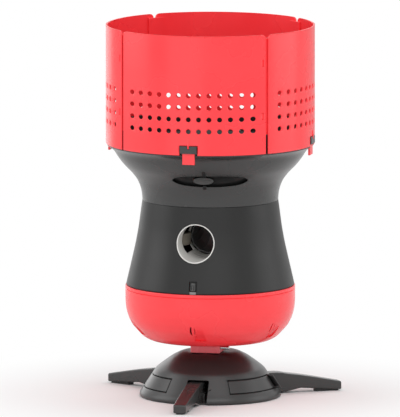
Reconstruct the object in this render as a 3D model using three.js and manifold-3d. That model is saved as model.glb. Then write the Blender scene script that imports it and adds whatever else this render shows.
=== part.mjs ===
// A table tennis robot: a ball hopper of four panels on a funnel, a head with two throwing wheels,
// and a round foot on three plug-in legs, about which the head turns and tilts.
// Millimetres, +Z up, the front faces -Y, and the origin is under the turning axis at the floor.
import * as THREE from 'three';
import { mergeVertices } from 'three/addons/utils/BufferGeometryUtils.js';
import Module from 'manifold-3d';

// Clearances and cutters
const seatGap = 0.3;
const runGap = 0.4;
const overrun = 4;

// Number of flat sides of the round pieces
const shellSides = 32;
const footSides = 30;
const drumSides = 16;
const rodSides = 12;
const screwSides = 8;
const nutSides = 6;
const buttonCurveSteps = 8;
const cornerSteps = 3;

// Hopper panels
const panelCount = 4;
const hopperRadius = 143;
const panelWall = 2.5;
const panelHeight = 163.3;
const panelSeam = 2;
const panelCorner = 5;
const holePitch = 14;
const holeRadius = 3.3;
const holeRowPitch = 16.35;
const holeTopRowDrop = 81.3;
const holeMargin = 9;
const holeRows = 4;
const holeSides = 6;
const lipWall = 1.5;
const lipReach = 12;
const lipFoot = 26;
const lipRootMargin = 3;
const hookHeight = 8.4;
const hookWidth = 3;
const hookInset = 6.5;
const hookDrops = { upper: 38.5, lower: 111.5 };
const tongueWidth = 17;
const tongueDrop = 12.7;
const tongueThickness = 3;
const tongueProud = -1.6;
const tongueWedge = 7;
const tongueWedgeInset = 1.5;

// Funnel, its ring inside the panels and the feed deck
const lipGap = 0.4;
const collarWall = 2.2;
const collarHeight = 25.3;
const waistRadius = 93;
const flareHeight = 70.3;
const shoulderStep = 10;
const rimRise = 7;
const rimStep = 1.2;
const rimEdge = 1.2;
const flareWall = 3;
const deckThickness = 3;
const ledgeThickness = 3;
const bracketWidth = 24;
const bracketRise = 2.7;
const bracketHeight = 10.3;
const bracketBar = 2.2;
const bracketClearance = 0.4;

// Control panel in the flare
const panelAzimuth = 12;
const windowWidth = 102.6;
const windowHeight = 16.6;
const windowTopShare = 0.65;
const windowCutReach = 65;
const backingWall = 4;
const backingLap = 2;
const buttonAzimuth = 7;
const buttonWidth = 27.6;
const buttonHeight = 11;
const buttonRise = 0.6;
const buttonInset = 1;
const buttonTravel = 1.5;
const tabWidth = 4.6;
const tabReach = 5;
const tabProud = 1.2;
const tabInset = 0.5;

// Lower shell and its ball outlet
const shellHeight = 117.1;
const bowlStep = 1.3;
const flangeReach = 11;
const flangeThickness = 4;
const flangeScrewInset = 7;
const flangeScrewCount = 3;
const shellWall = 2.5;
const shellEdge = 1.5;
const outletRise = 68;
const outletRadius = 27;
const linerWall = 1.7;
const linerRear = 14;
const linerInset = 0.8;

// Throwing wheels, their motors and the deck that carries them
const wheelRadius = 26;
const wheelWidth = 16;
const wheelNip = 35;
const wheelReach = 45;
const tyreWall = 8;
const wheelShaftRadius = 2.5;
const shaftHoleGap = 2.5;
const shaftEngagement = 10;
const wheelMotorRadius = 16;
const wheelMotorLength = 36;
const wheelSlotHeight = 34;
const wheelSlotGap = 2.5;
const motorDeckThickness = 3;

// Feed disc, its gear motor, the agitator and the chute
const feedDiscRadius = 80;
const feedDiscThickness = 15;
const pocketRadius = 22.5;
const pocketCircle = 55;
const pocketCount = 5;
const feedShaftRadius = 4;
const feedMotorRadius = 18.5;
const feedMotorLength = 19;
const agitatorRadius = 13;
const agitatorHeight = 26;
const finReach = 30;
const finWidth = 5;
const finHeight = 9;
const chuteBore = 22.5;
const chuteWall = 2;
const chuteBend = 34;
const chuteSides = 6;
const chuteArcSteps = 5;

// Bowl, circuit board and the latch at the seam
const bowlLift = 16;
const bowlDepth = 75.7;
const bowlRadius = 116.3;
const bowlBand = 21.7;
const bowlFootRadius = 83;
const bowlWall = 3;
const lipBand = 4.2;
const lipGroove = 1.3;
const boardWidth = 120;
const boardDepth = 90;
const boardThickness = 1.6;
const standoffHeight = 17;
const standoffRadius = 3.5;
const standoffInset = 6;
const wireHoleRadius = 8;
const wireHoleReach = 34;
const latchWidth = 10.8;
const latchRise = 4;
const latchHeight = 13.5;
const latchThickness = 3;
const latchInset = 0.8;
const hookTongueWidth = 9;
const hookTongueDepth = 3.4;

// Rear service plate, switch and inlet
const serviceWidth = 56;
const serviceHeight = 28;
const serviceRise = 8;
const servicePlateThickness = 3;
const serviceLap = 1.5;
const switchAcross = 14;
const switchWidth = 13;
const switchHeight = 19;
const switchDepth = 14;
const switchRim = 2;
const rockerProud = 2.4;
const rockerSwing = 8;
const inletAcross = 14;
const inletRadius = 5.6;
const inletBore = 3.1;
const inletPinRadius = 1.03;
const inletDepth = 13;
const inletProud = 2;

// Tilt block under the bowl
const blockWidth = 41;
const blockFront = 35;
const blockRear = 8;
const blockStep = 3.8;
const blockStepReach = 2;
const blockClearance = 0.6;
const tiltPinRise = 6;
const tiltPinRadius = 2.5;
const tiltPinProud = 2;
const tiltNutRadius = 5;
const tiltNutWidth = 4;
const postWidth = 16;
const postDepth = 14;
const postRise = 11.5;
const channelFront = 11;
const stopPinReach = 29;
const stopPinRise = 8;
const stopPinRadius = 2.3;
const stopPinProud = 12;
const stopPinDepth = 10;

// Round foot, its plate and the turning gear
const footRadius = 97;
const rimHeight = 6.5;
const crownRadius = 42;
const crownHeight = 63;
const footWall = 2.6;
const footLift = 0.5;
const plateRadius = 90;
const plateThickness = 3;
const grooveWidth = 60;
const grooveBase = 12;
const grooveTop = 29;
const grooveDepth = 1.2;
const bossRadius = 5;
const bossCircle = 70;
const bossCount = 3;
const spindleRadius = 12;
const collarSeatRadius = 16;
const bearingRadius = 20;
const bearingHeight = 6;
const gearBase = 36;
const gearThickness = 6;
const gearModule = 2;
const gearTeeth = 30;
const pinionTeeth = 10;
const pinionShaftRadius = 2.5;
const panMotorRadius = 12;
const screwRadius = 1.5;
const screwHeadRadius = 3.4;
const screwHeadHeight = 1.6;
const screwLength = 10;
const headRecess = 0.4;

// Plug-in legs
const legReach = 186;
const legRootReach = 58;
const legRootWidth = 20;
const legTipWidth = 17.5;
const legRootHeight = 29.5;
const legTipHeight = 12.5;
const legStepReach = 92.5;
const legNames = ['front', 'right', 'left'];
const legSlotWidth = 30;
const legSlotHeight = 32;
const legShift = 3;
const padThickness = 1.5;
const padLength = 34;
const padInset = 3;
const railHeight = 12;
const railWall = 3;
const railStart = 62;
const railEnd = 84;

// Finishes: colour, roughness, metalness
const finishes = {
  redShell: ['#fd545a', 0.3, 0],
  redBlock: ['#e8636c', 0.4, 0],
  blackShell: ['#464645', 0.35, 0],
  blackGloss: ['#3a3a3b', 0.18, 0],
  darkInsert: ['#161616', 0.25, 0],
  greyButton: ['#5a5a59', 0.45, 0],
  ivoryLiner: ['#efe6d2', 0.4, 0],
  tyreGrey: ['#b9ad98', 0.85, 0],
  hubPlastic: ['#d8d4ca', 0.5, 0],
  motorSteel: ['#9a9c9f', 0.35, 0.8],
  brightSteel: ['#d9dadc', 0.25, 0.95],
  innerPlastic: ['#6a6a68', 0.6, 0],
  gearPlastic: ['#e6e2d8', 0.5, 0],
  bronze: ['#a9855a', 0.4, 0.7],
  boardGreen: ['#2f6b45', 0.6, 0],
  padRubber: ['#1f1f1f', 0.9, 0],
  latchGrey: ['#bdbdbb', 0.45, 0],
};

// Radii and heights above the floor, each worked out from the piece that carries the next
const shellFootRadius = bowlRadius - bowlStep;
const flangeRadius = waistRadius - flangeReach;
const flangeScrewCircle = waistRadius - flangeScrewInset;
const shoulderReach = hopperRadius - shoulderStep;
const rimReach = hopperRadius - rimStep;
const tiltPinHeight = crownHeight + tiltPinRise;
const stopPinHeight = crownHeight + stopPinRise;
const postHeight = crownHeight + postRise;
const bowlBottom = crownHeight + bowlLift;
const bowlHeight = bowlBottom + bowlDepth;
const bowlShoulder = bowlHeight - bowlBand;
const shellFoot = bowlHeight + seatGap;
const shellTop = shellFoot + shellHeight;
const latchBase = shellFoot + latchRise;
const serviceBase = shellFoot + serviceRise;
const outletHeight = shellFoot + outletRise;
const waistHeight = shellTop + seatGap;
const windowTop = waistHeight + windowTopShare * flareHeight;
const shoulderHeight = waistHeight + flareHeight;
const panelBottom = shoulderHeight + rimRise;
const bracketBase = panelBottom + bracketRise;

const wasm = await Module();
wasm.setup();
const weld = 1e-4;
const robot = new THREE.Group();

// The solid of a closed geometry, turned right side out, for joining and cutting.
function solid(geometry) {
  const bare = geometry.clone();
  bare.deleteAttribute('normal');
  bare.deleteAttribute('uv');
  const merged = mergeVertices(bare, weld);
  const corners = [];
  for (let i = 0; i < merged.index.count; i += 3) {
    const [a, b, c] = merged.index.array.subarray(i, i + 3);
    if (a !== b && b !== c && c !== a) corners.push([a, b, c]);
  }
  const vertProperties = merged.attributes.position.array;
  const build = (faces) => new wasm.Manifold(
    new wasm.Mesh({ numProp: 3, vertProperties, triVerts: new Uint32Array(faces.flat()) }));
  const made = build(corners);
  return made.volume() < 0 ? build(corners.map(([a, b, c]) => [a, c, b])) : made;
}

const asSolid = (shape) => (shape.isBufferGeometry ? solid(shape) : shape);
const join = (...shapes) => shapes.map(asSolid).reduce((whole, next) => whole.add(next));
const cut = (shape, ...tools) => tools.map(asSolid)
  .reduce((left, tool) => left.subtract(tool), asSolid(shape));
const common = (...shapes) => shapes.map(asSolid).reduce((whole, next) => whole.intersect(next));

// Adds one piece to the robot, as a mesh with a material of its own, swung round to its azimuth.
function piece(name, shape, finish, azimuth = 0) {
  const mesh = asSolid(shape).getMesh();
  const geometry = new THREE.BufferGeometry();
  geometry.setAttribute('position', new THREE.BufferAttribute(mesh.vertProperties, mesh.numProp));
  geometry.setIndex(new THREE.BufferAttribute(mesh.triVerts, 1));
  geometry.computeVertexNormals();
  const [color, roughness, metalness] = finishes[finish];
  const node = new THREE.Mesh(geometry, new THREE.MeshStandardMaterial({ color, roughness, metalness }));
  node.name = name;
  node.rotation.z = radians(azimuth);
  robot.add(node);
}

const radians = (degrees) => degrees * Math.PI / 180;
const fullTurn = 360;

// A block between two limits on each axis.
function block([x0, x1], [y0, y1], [z0, z1]) {
  const box = new THREE.BoxGeometry(x1 - x0, y1 - y0, z1 - z0);
  return box.translate((x0 + x1) / 2, (y0 + y1) / 2, (z0 + z1) / 2);
}

// A round bar between two limits on Z, X or Y.
function rod(radius, [z0, z1], sides = rodSides) {
  const bar = new THREE.CylinderGeometry(radius, radius, z1 - z0, sides).rotateX(Math.PI / 2);
  return bar.translate(0, 0, (z0 + z1) / 2);
}
const rodX = (radius, [x0, x1], sides) => rod(radius, [x0, x1], sides).rotateY(Math.PI / 2);
const rodY = (radius, [y0, y1], sides) => rod(radius, [-y1, -y0], sides).rotateX(Math.PI / 2);

// A profile of [radius, height] points turned round Z. It starts on the axis or is closed here.
function turned(profile, sides) {
  const closed = [...profile, profile[0]];
  const lathe = new THREE.LatheGeometry(closed.map(([r, z]) => new THREE.Vector2(r, z)), sides);
  return lathe.rotateX(Math.PI / 2);
}

// An outline of [x, y] points raised between two heights.
function prism(outline, [z0, z1]) {
  const shape = new THREE.Shape(outline.map(([x, y]) => new THREE.Vector2(x, y)));
  return new THREE.ExtrudeGeometry(shape, { depth: z1 - z0, bevelEnabled: false }).translate(0, 0, z0);
}

// An outline of [reach, z] points, reach counted towards the front, with a width along X.
function sidePrism(outline, [x0, x1]) {
  return prism(outline, [-x1, -x0]).rotateX(Math.PI / 2).rotateZ(-Math.PI / 2);
}

// An outline of [x, z] points drawn on the front, solid between two reaches.
const frontPrism = (outline, reaches) => prism(outline, reaches).rotateX(Math.PI / 2);

// Swings a shape made at the front round to an azimuth in degrees, counted from -Y towards +X.
const aimed = (shape, azimuth) => (shape.isBufferGeometry
  ? shape.clone().rotateZ(radians(azimuth)) : shape.rotate([0, 0, azimuth]));
const azimuths = (count, first = 0) => Array.from({ length: count },
  (_, i) => first + i * fullTurn / count);

// The same profile pushed inwards by a wall, with mitred corners. It runs with the outside on its right.
function inset(profile, wall) {
  const normals = profile.slice(1).map(([r, z], i) => {
    const along = new THREE.Vector2(r - profile[i][0], z - profile[i][1]).normalize();
    return new THREE.Vector2(along.y, -along.x);
  });
  return profile.map(([r, z], i) => {
    const before = normals[Math.max(i - 1, 0)];
    const after = normals[Math.min(i, normals.length - 1)];
    const mitre = before.clone().add(after).normalize();
    const reach = wall / mitre.dot(after);
    return [r - mitre.x * reach, z - mitre.y * reach];
  });
}

// Points between two corners, from a table of [radius share, height share].
const between = ([r0, z0], [r1, z1], shares) => shares.map(([r, z]) => [
  r0 + (r1 - r0) * r, z0 + (z1 - z0) * z]);

// The profile without some of its points, for an inner face that needs fewer.
const without = (profile, spares) => profile.filter((point, i) => !spares.includes(i));

// The radius of a rising profile at a height.
function radiusAt(profile, height) {
  const i = Math.max(1, profile.findIndex(([, z]) => z >= height));
  const [[r0, z0], [r1, z1]] = [profile[i - 1], profile[i]];
  return r0 + (r1 - r0) * (height - z0) / (z1 - z0);
}

// Round foot: a domed shell with three leg slots and three framed grooves between them
const legTurns = azimuths(legNames.length);
const footShares = [[1, 0], [0.927, 0.097], [0.631, 0.586], [0.509, 0.681], [0.382, 0.78], [0.255, 0.876],
  [0.084, 0.977], [0, 1]];
const footSpares = [4, 6];
const dome = between([crownRadius, rimHeight], [footRadius, crownHeight], footShares);
const footOuter = [[footRadius, footLift], ...dome, [0, crownHeight]];
const footInner = without(inset(footOuter, footWall), footSpares);
const footFloor = footInner.map(([r, z]) => [Math.max(r, 0), Math.max(z, footLift)]);
const footShell = [[0, crownHeight], ...footFloor.slice().reverse(), ...footOuter.slice(0, -1)];
const footSolid = turned([[0, footLift], ...footOuter], footSides);
const crownBore = rod(spindleRadius + runGap,
  [crownHeight - footWall - overrun, crownHeight + overrun], drumSides);
const bossAzimuths = azimuths(bossCount, fullTurn / bossCount / 2);
const legSlot = block([-legSlotWidth / 2, legSlotWidth / 2],
  [-footRadius - overrun, -legRootReach], [footLift - overrun, legSlotHeight]);
const grooveShares = [-1, -0.5, 0, 0.5, 1];
const grooveAngles = grooveShares.map((share) => radians(share * grooveWidth / 2));
const grooveSector = prism(
  [[0, 0], ...grooveAngles.map((a) => [Math.sin(a), -Math.cos(a)].map((c) => c * (footRadius + overrun)))],
  [grooveBase, grooveTop]);
const grooveCore = turned(
  [[0, footLift], ...inset(footOuter.slice(0, -1), grooveDepth), [0, crownHeight]], footSides);
const screwHole = rod(screwRadius + seatGap,
  [-overrun, screwLength + headRecess + overrun], screwSides).translate(0, -bossCircle, 0);
const boss = rod(bossRadius, [plateThickness + seatGap, crownHeight], rodSides).translate(0, -bossCircle, 0);
let foot = cut(turned(footShell, footSides), crownBore);
for (const azimuth of bossAzimuths) {
  foot = join(foot, common(aimed(boss, azimuth), footSolid));
  foot = cut(foot, aimed(screwHole, azimuth), cut(aimed(grooveSector, azimuth), grooveCore));
}
for (const azimuth of legTurns) foot = cut(foot, aimed(legSlot, azimuth));
piece('base_dome', foot, 'blackGloss');

// Foot plate with a pair of guide rails for each leg
const railGap = legRootWidth / 2 + seatGap;
const rail = (side) => block(
  [railGap, railGap + railWall].map((x) => x * side - legShift).sort((a, b) => a - b),
  [-railEnd, -railStart], [plateThickness / 2, plateThickness + railHeight]);
const headSeat = rod(screwHeadRadius + seatGap,
  [-overrun, headRecess + screwHeadHeight + seatGap], screwSides).translate(0, -bossCircle, 0);
let plate = asSolid(rod(plateRadius, [0, plateThickness], footSides));
for (const azimuth of legTurns) {
  plate = join(plate, aimed(rail(1), azimuth), aimed(rail(-1), azimuth));
}
for (const azimuth of bossAzimuths) plate = cut(plate, aimed(screwHole, azimuth), aimed(headSeat, azimuth));
piece('base_plate', plate, 'blackShell');

const plateScrew = join(
  rod(screwHeadRadius, [headRecess, headRecess + screwHeadHeight], screwSides).translate(0, -bossCircle, 0),
  rod(screwRadius, [headRecess, headRecess + screwLength], screwSides).translate(0, -bossCircle, 0));
for (const [i, azimuth] of bossAzimuths.entries()) {
  piece(`base_screw_${i + 1}`, plateScrew, 'brightSteel', azimuth);
}

// Legs: bars that plug into the slots, each with a rubber pad under its tip
const legUnderside = padThickness + seatGap;
const legSide = sidePrism([[legRootReach, plateThickness + seatGap], [legStepReach, plateThickness + seatGap],
  [legStepReach, legUnderside], [legReach, legUnderside], [legReach, legTipHeight],
  [footRadius, legRootHeight], [legRootReach, legRootHeight]],
  [-legShift - legRootWidth / 2, -legShift + legRootWidth / 2]);
const legPlan = prism([[-legRootWidth / 2, -legRootReach], [-legRootWidth / 2, -legStepReach],
  [-legTipWidth / 2, -legReach], [legTipWidth / 2, -legReach], [legRootWidth / 2, -legStepReach],
  [legRootWidth / 2, -legRootReach]], [0, legSlotHeight]).translate(-legShift, 0, 0);
const leg = common(legSide, legPlan);
const padHalf = legTipWidth / 2 - padInset;
const pad = block([-legShift - padHalf, -legShift + padHalf],
  [padInset - legReach, padInset + padLength - legReach], [0, padThickness]);
for (const [i, name] of legNames.entries()) {
  piece(`${name}_leg`, leg, 'blackShell', legTurns[i]);
  piece(`${name}_leg_pad`, pad, 'padRubber', legTurns[i]);
}

// Turning gear inside the foot: thrust ring, spindle, gear, pinion and motor
const bearingTop = plateThickness + seatGap + bearingHeight;
const spindleBore = rod(spindleRadius + runGap, [plateThickness, bearingTop + overrun], drumSides);
piece('thrust_bearing',
  cut(rod(bearingRadius, [plateThickness + seatGap, bearingTop], drumSides), spindleBore), 'bronze');
const spindle = cut(join(
  rod(spindleRadius, [plateThickness + seatGap, crownHeight], drumSides),
  rod(collarSeatRadius, [bearingTop + seatGap, gearBase - seatGap], drumSides),
  block([-postWidth / 2, postWidth / 2], [-postDepth / 2, postDepth / 2], [gearBase, postHeight])),
  rodX(tiltPinRadius + seatGap, [-blockWidth, blockWidth]).translate(0, 0, tiltPinHeight));
piece('pan_spindle', spindle, 'innerPlastic');

// The outline of a gear, with a tooth centred on an angle in degrees.
const toothTipShare = 0.28;
const toothRootShare = 0.56;
const addendumShare = 0.8;
const dedendumShare = 1.1;
function gearOutline(teeth, firstTooth) {
  const pitchRadius = teeth * gearModule / 2;
  const tip = pitchRadius + gearModule * addendumShare;
  const root = pitchRadius - gearModule * dedendumShare;
  const corners = [[root, -toothRootShare], [tip, -toothTipShare],
    [tip, toothTipShare], [root, toothRootShare]];
  const pitch = fullTurn / teeth;
  return azimuths(teeth).flatMap((turn) => corners.map(([r, share]) => {
    const angle = radians(firstTooth + turn + share * pitch / 2);
    return [r * Math.cos(angle), r * Math.sin(angle)];
  }));
}
const gearSpan = [gearBase, gearBase + gearThickness];
const rearAngle = 90;
const panGear = cut(prism(gearOutline(gearTeeth, rearAngle), gearSpan),
  rod(spindleRadius + seatGap, [gearBase - overrun, gearBase + gearThickness + overrun], drumSides));
piece('pan_gear', panGear, 'gearPlastic');
const pinionReach = (gearTeeth + pinionTeeth) * gearModule / 2;
const pinionPhase = rearAngle + fullTurn / 2 + fullTurn / pinionTeeth / 2;
const panMotorTop = gearBase - seatGap;
const pinion = join(prism(gearOutline(pinionTeeth, pinionPhase), gearSpan),
  rod(pinionShaftRadius, [panMotorTop - shaftEngagement, gearBase + gearThickness]));
piece('pan_pinion', pinion.translate([0, pinionReach, 0]), 'bronze');
const panMotor = cut(rod(panMotorRadius, [plateThickness + seatGap, panMotorTop], drumSides),
  rod(pinionShaftRadius + runGap, [panMotorTop - shaftEngagement - runGap, panMotorTop + overrun]));
piece('pan_motor', panMotor.translate([0, pinionReach, 0]), 'motorSteel');

// Tilt block: a moulded lug under the bowl, pinned to the spindle's post
const blockBase = crownHeight + blockClearance;
const blockTop = bowlBottom - seatGap;
const tiltHole = rodX(tiltPinRadius + runGap, [-blockWidth, blockWidth]).translate(0, 0, tiltPinHeight);
const stopPinEnd = blockWidth / 2 + stopPinProud;
const stopPinStart = blockWidth / 2 - stopPinDepth;
const stopPinBar = (radius, gap) => rodX(radius + gap, [stopPinStart - gap, stopPinEnd])
  .translate(0, -stopPinReach, stopPinHeight);
const channelHalf = postWidth / 2 + runGap;
const tiltBlock = cut(
  block([-blockWidth / 2, blockWidth / 2], [-blockFront, blockRear], [blockBase, blockTop]),
  block([-channelHalf, channelHalf], [-channelFront, blockRear + overrun],
    [blockBase - overrun, blockTop + overrun]),
  block([-blockWidth, blockWidth], [-blockStepReach, blockRear + overrun],
    [blockBase - overrun, blockBase + blockStep]),
  tiltHole, stopPinBar(stopPinRadius, seatGap));
piece('tilt_block', tiltBlock, 'redBlock');
piece('tilt_stop_pin', stopPinBar(stopPinRadius, 0), 'brightSteel');
const nutStart = blockWidth / 2 + seatGap;
const pinEnd = nutStart + tiltNutWidth + tiltPinProud;
piece('tilt_pin', rodX(tiltPinRadius, [seatGap - blockWidth / 2, pinEnd]).translate(0, 0, tiltPinHeight),
  'brightSteel');
piece('tilt_nut', cut(
  rodX(tiltNutRadius, [nutStart, nutStart + tiltNutWidth], nutSides).translate(0, 0, tiltPinHeight),
  rodX(tiltPinRadius + seatGap, [-blockWidth, blockWidth]).translate(0, 0, tiltPinHeight)), 'brightSteel');

// Bowl: a pressed-looking round pan with a lip band at its seam
const bowlShares = [[0, 0], [0.27, 0.093], [0.42, 0.185], [0.72, 0.389], [0.88, 0.593],
  [0.97, 0.796], [1, 1]];
const bowlSpares = [1, 5];
const bowlCurve = between([bowlFootRadius, bowlBottom], [bowlRadius, bowlShoulder], bowlShares);
const bandBase = bowlHeight - lipBand;
const bowlOuter = [...bowlCurve, [bowlRadius, bandBase - lipGroove],
  [bowlRadius - lipGroove, bandBase - lipGroove / 2], [bowlRadius, bandBase], [bowlRadius, bowlHeight]];
const bowlInner = inset(
  [[0, bowlBottom], ...without(bowlCurve, bowlSpares), [bowlRadius, bowlHeight]], bowlWall);
const wireHole = rod(wireHoleRadius, [bowlBottom - overrun, bowlBottom + bowlWall + overrun])
  .translate(0, wireHoleReach, 0);
const bowlPan = turned([[0, bowlBottom], ...bowlOuter, ...bowlInner.slice().reverse()], shellSides);
piece('bowl', cut(bowlPan, wireHole), 'redShell');

// Circuit board on four standoffs on the bowl's floor
const standoffBase = bowlBottom + bowlWall + seatGap;
const boardBase = standoffBase + standoffHeight + seatGap;
const standoff = rod(standoffRadius, [standoffBase, standoffBase + standoffHeight], screwSides);
const corners = [[-1, -1], [1, -1], [1, 1], [-1, 1]];
for (const [i, [sideX, sideY]] of corners.entries()) {
  const x = sideX * (boardWidth / 2 - standoffInset);
  const y = sideY * (boardDepth / 2 - standoffInset);
  piece(`board_standoff_${i + 1}`, standoff.clone().translate(x, y, 0), 'brightSteel');
}
piece('circuit_board', block([-boardWidth / 2, boardWidth / 2], [-boardDepth / 2, boardDepth / 2],
  [boardBase, boardBase + boardThickness]), 'boardGreen');

// Lower shell: a tapering drum with an inner flange at the top, cut for the outlet, latch and service plate
const shellShares = [[0, 0], [0.591, 0.489], [0.773, 0.678], [0.9, 0.866], [1, 1]];
const shellOuter = [[shellFootRadius - shellEdge, shellFoot],
  ...between([shellFootRadius, shellFoot + shellEdge], [waistRadius, shellTop], shellShares)];
const shellCurve = inset(shellOuter.slice(1), shellWall);
const flangeFoot = shellTop - flangeThickness;
const shellInner = [[shellCurve[0][0], shellFoot], ...shellCurve.slice(0, -1),
  [radiusAt(shellCurve, flangeFoot - flangeThickness), flangeFoot - flangeThickness],
  [flangeRadius, flangeFoot], [flangeRadius, shellTop]];
const solidOfTurn = (profile) => turned([[0, profile[0][1]], ...profile, [0, profile.at(-1)[1]]], shellSides);
const latchWindow = block([-latchWidth / 2, latchWidth / 2], [-shellFootRadius - overrun, -waistRadius],
  [latchBase, latchBase + latchHeight]);
const hookSlot = block([-hookTongueWidth / 2 - seatGap, hookTongueWidth / 2 + seatGap],
  [-shellFootRadius - overrun, -waistRadius], [shellFoot - overrun, latchBase + overrun]);
const serviceWindow = block([-serviceWidth / 2, serviceWidth / 2], [waistRadius, shellFootRadius + overrun],
  [serviceBase, serviceBase + serviceHeight]);
const outletBore = rodY(outletRadius, [-shellFootRadius, -waistRadius / 2], drumSides)
  .translate(0, 0, outletHeight);
const deckAzimuths = azimuths(flangeScrewCount, fullTurn / flangeScrewCount / 2);
const flangeHole = rod(screwRadius + seatGap,
  [flangeFoot - overrun * 2, waistHeight + overrun * 2], screwSides)
  .translate(0, -flangeScrewCircle, 0);
const flangeHoles = deckAzimuths.map((azimuth) => aimed(flangeHole, azimuth));
const lowerShell = cut(turned([...shellOuter, ...shellInner.slice().reverse()], shellSides),
  latchWindow, hookSlot, serviceWindow, outletBore, ...flangeHoles);
piece('lower_shell', lowerShell, 'blackShell');

// Outlet liner: a tube that ends flush in the shell's face, open at both sides where the wheels reach in
const wheelX = wheelRadius + wheelNip / 2;
const wheelPlaces = { left: -wheelX, right: wheelX };
const linerOuter = outletRadius - seatGap;
const wheelSlot = rod(wheelRadius + wheelSlotGap,
  [outletHeight - wheelSlotHeight / 2, outletHeight + wheelSlotHeight / 2], drumSides);
const linerTube = cut(
  rodY(linerOuter, [-shellFootRadius, -linerRear], drumSides).translate(0, 0, outletHeight),
  rodY(linerOuter - linerWall, [-shellFootRadius - overrun, 0], drumSides).translate(0, 0, outletHeight));
const liner = cut(common(linerTube, solidOfTurn(inset(shellOuter.slice(1), linerInset))),
  ...Object.values(wheelPlaces).map((x) => wheelSlot.clone().translate(x, -wheelReach, 0)));
piece('outlet_liner', liner, 'ivoryLiner');

// Motor deck, and for each side a motor below it, a hub on its shaft and a soft tyre
const deckTop = outletHeight - outletRadius;
const deckFoot = deckTop - motorDeckThickness;
const deckRadius = radiusAt(shellCurve, deckTop) - seatGap;
const shaftHole = rod(wheelShaftRadius + shaftHoleGap, [deckFoot - overrun, deckTop + overrun]);
const motorDeck = cut(rod(deckRadius, [deckFoot, deckTop], shellSides),
  rod(wireHoleRadius, [deckFoot - overrun, deckTop + overrun]).translate(0, pocketCircle, 0),
  ...Object.values(wheelPlaces).map((x) => shaftHole.clone().translate(x, -wheelReach, 0)));
piece('motor_deck', motorDeck, 'innerPlastic');
const wheelSpan = [outletHeight - wheelWidth / 2, outletHeight + wheelWidth / 2];
const wheelMotorTop = deckFoot - seatGap;
const hubRadius = wheelRadius - tyreWall;
const tyre = cut(rod(wheelRadius, wheelSpan, drumSides),
  rod(hubRadius, [wheelSpan[0] - overrun, wheelSpan[1] + overrun], drumSides));
const hub = join(rod(hubRadius - seatGap, wheelSpan, drumSides),
  rod(wheelShaftRadius, [wheelMotorTop - shaftEngagement, outletHeight]));
const wheelMotor = cut(rod(wheelMotorRadius, [wheelMotorTop - wheelMotorLength, wheelMotorTop], drumSides),
  rod(wheelShaftRadius + runGap, [wheelMotorTop - shaftEngagement - runGap, wheelMotorTop + overrun]));
for (const [side, x] of Object.entries(wheelPlaces)) {
  piece(`${side}_wheel_tyre`, tyre.translate([x, -wheelReach, 0]), 'tyreGrey');
  piece(`${side}_wheel_hub`, hub.translate([x, -wheelReach, 0]), 'hubPlastic');
  piece(`${side}_wheel_motor`, wheelMotor.translate([x, -wheelReach, 0]), 'motorSteel');
}

// Feed: a gear motor under the feed deck, a disc over it whose pockets carry the balls round,
// an agitator, and the chute to the wheels
const funnelDeckTop = waistHeight + deckThickness;
const feedMotorTop = waistHeight - seatGap;
const feedShaftHole = rod(feedShaftRadius + runGap, [waistHeight - overrun, funnelDeckTop + overrun]);
const feedMotor = cut(rod(feedMotorRadius, [feedMotorTop - feedMotorLength, feedMotorTop], drumSides),
  rod(feedShaftRadius + runGap, [feedMotorTop - shaftEngagement - runGap, feedMotorTop + overrun]));
piece('feed_motor', feedMotor, 'motorSteel');
const discBase = funnelDeckTop + seatGap;
const discTop = discBase + feedDiscThickness;
const pocketSpan = [discBase - overrun, discTop + overrun];
const pocket = join(rod(pocketRadius, pocketSpan, drumSides).translate(0, pocketCircle, 0),
  block([-pocketRadius, pocketRadius], [pocketCircle, feedDiscRadius + overrun], pocketSpan));
const pockets = azimuths(pocketCount).map((azimuth) => aimed(pocket, azimuth));
const feedDisc = join(
  cut(rod(feedDiscRadius, [discBase, discTop], shellSides), ...pockets),
  rod(feedShaftRadius, [feedMotorTop - shaftEngagement, discTop]));
piece('feed_disc', feedDisc, 'gearPlastic');
const agitatorBase = discTop + seatGap;
const cone = new THREE.CylinderGeometry(finWidth, agitatorRadius, agitatorHeight, rodSides)
  .rotateX(Math.PI / 2).translate(0, 0, agitatorBase + agitatorHeight / 2);
piece('agitator', join(cone, block([-finReach, finReach], [-finWidth / 2, finWidth / 2],
  [agitatorBase, agitatorBase + finHeight])), 'bronze');
const chuteOuter = chuteBore + chuteWall;
const chuteMouth = new THREE.Shape().absarc(0, 0, chuteOuter, 0, Math.PI * 2);
chuteMouth.holes.push(new THREE.Path().absarc(0, 0, chuteBore, 0, Math.PI * 2));
const chuteArc = Array.from({ length: chuteArcSteps + 1 }, (_, i) => {
  const turn = i / chuteArcSteps * Math.PI / 2;
  const reach = chuteBend * Math.cos(turn);
  const drop = chuteBend * Math.sin(turn);
  return new THREE.Vector3(0, pocketCircle - chuteBend + reach, outletHeight + chuteBend - drop);
});
const chutePath = new THREE.CatmullRomCurve3([
  new THREE.Vector3(0, pocketCircle, waistHeight - seatGap), ...chuteArc,
  new THREE.Vector3(0, seatGap - linerRear, outletHeight)]);
piece('feed_chute', new THREE.ExtrudeGeometry(chuteMouth,
  { steps: chuteArcSteps * 2, curveSegments: chuteSides, extrudePath: chutePath }), 'innerPlastic');

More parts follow.
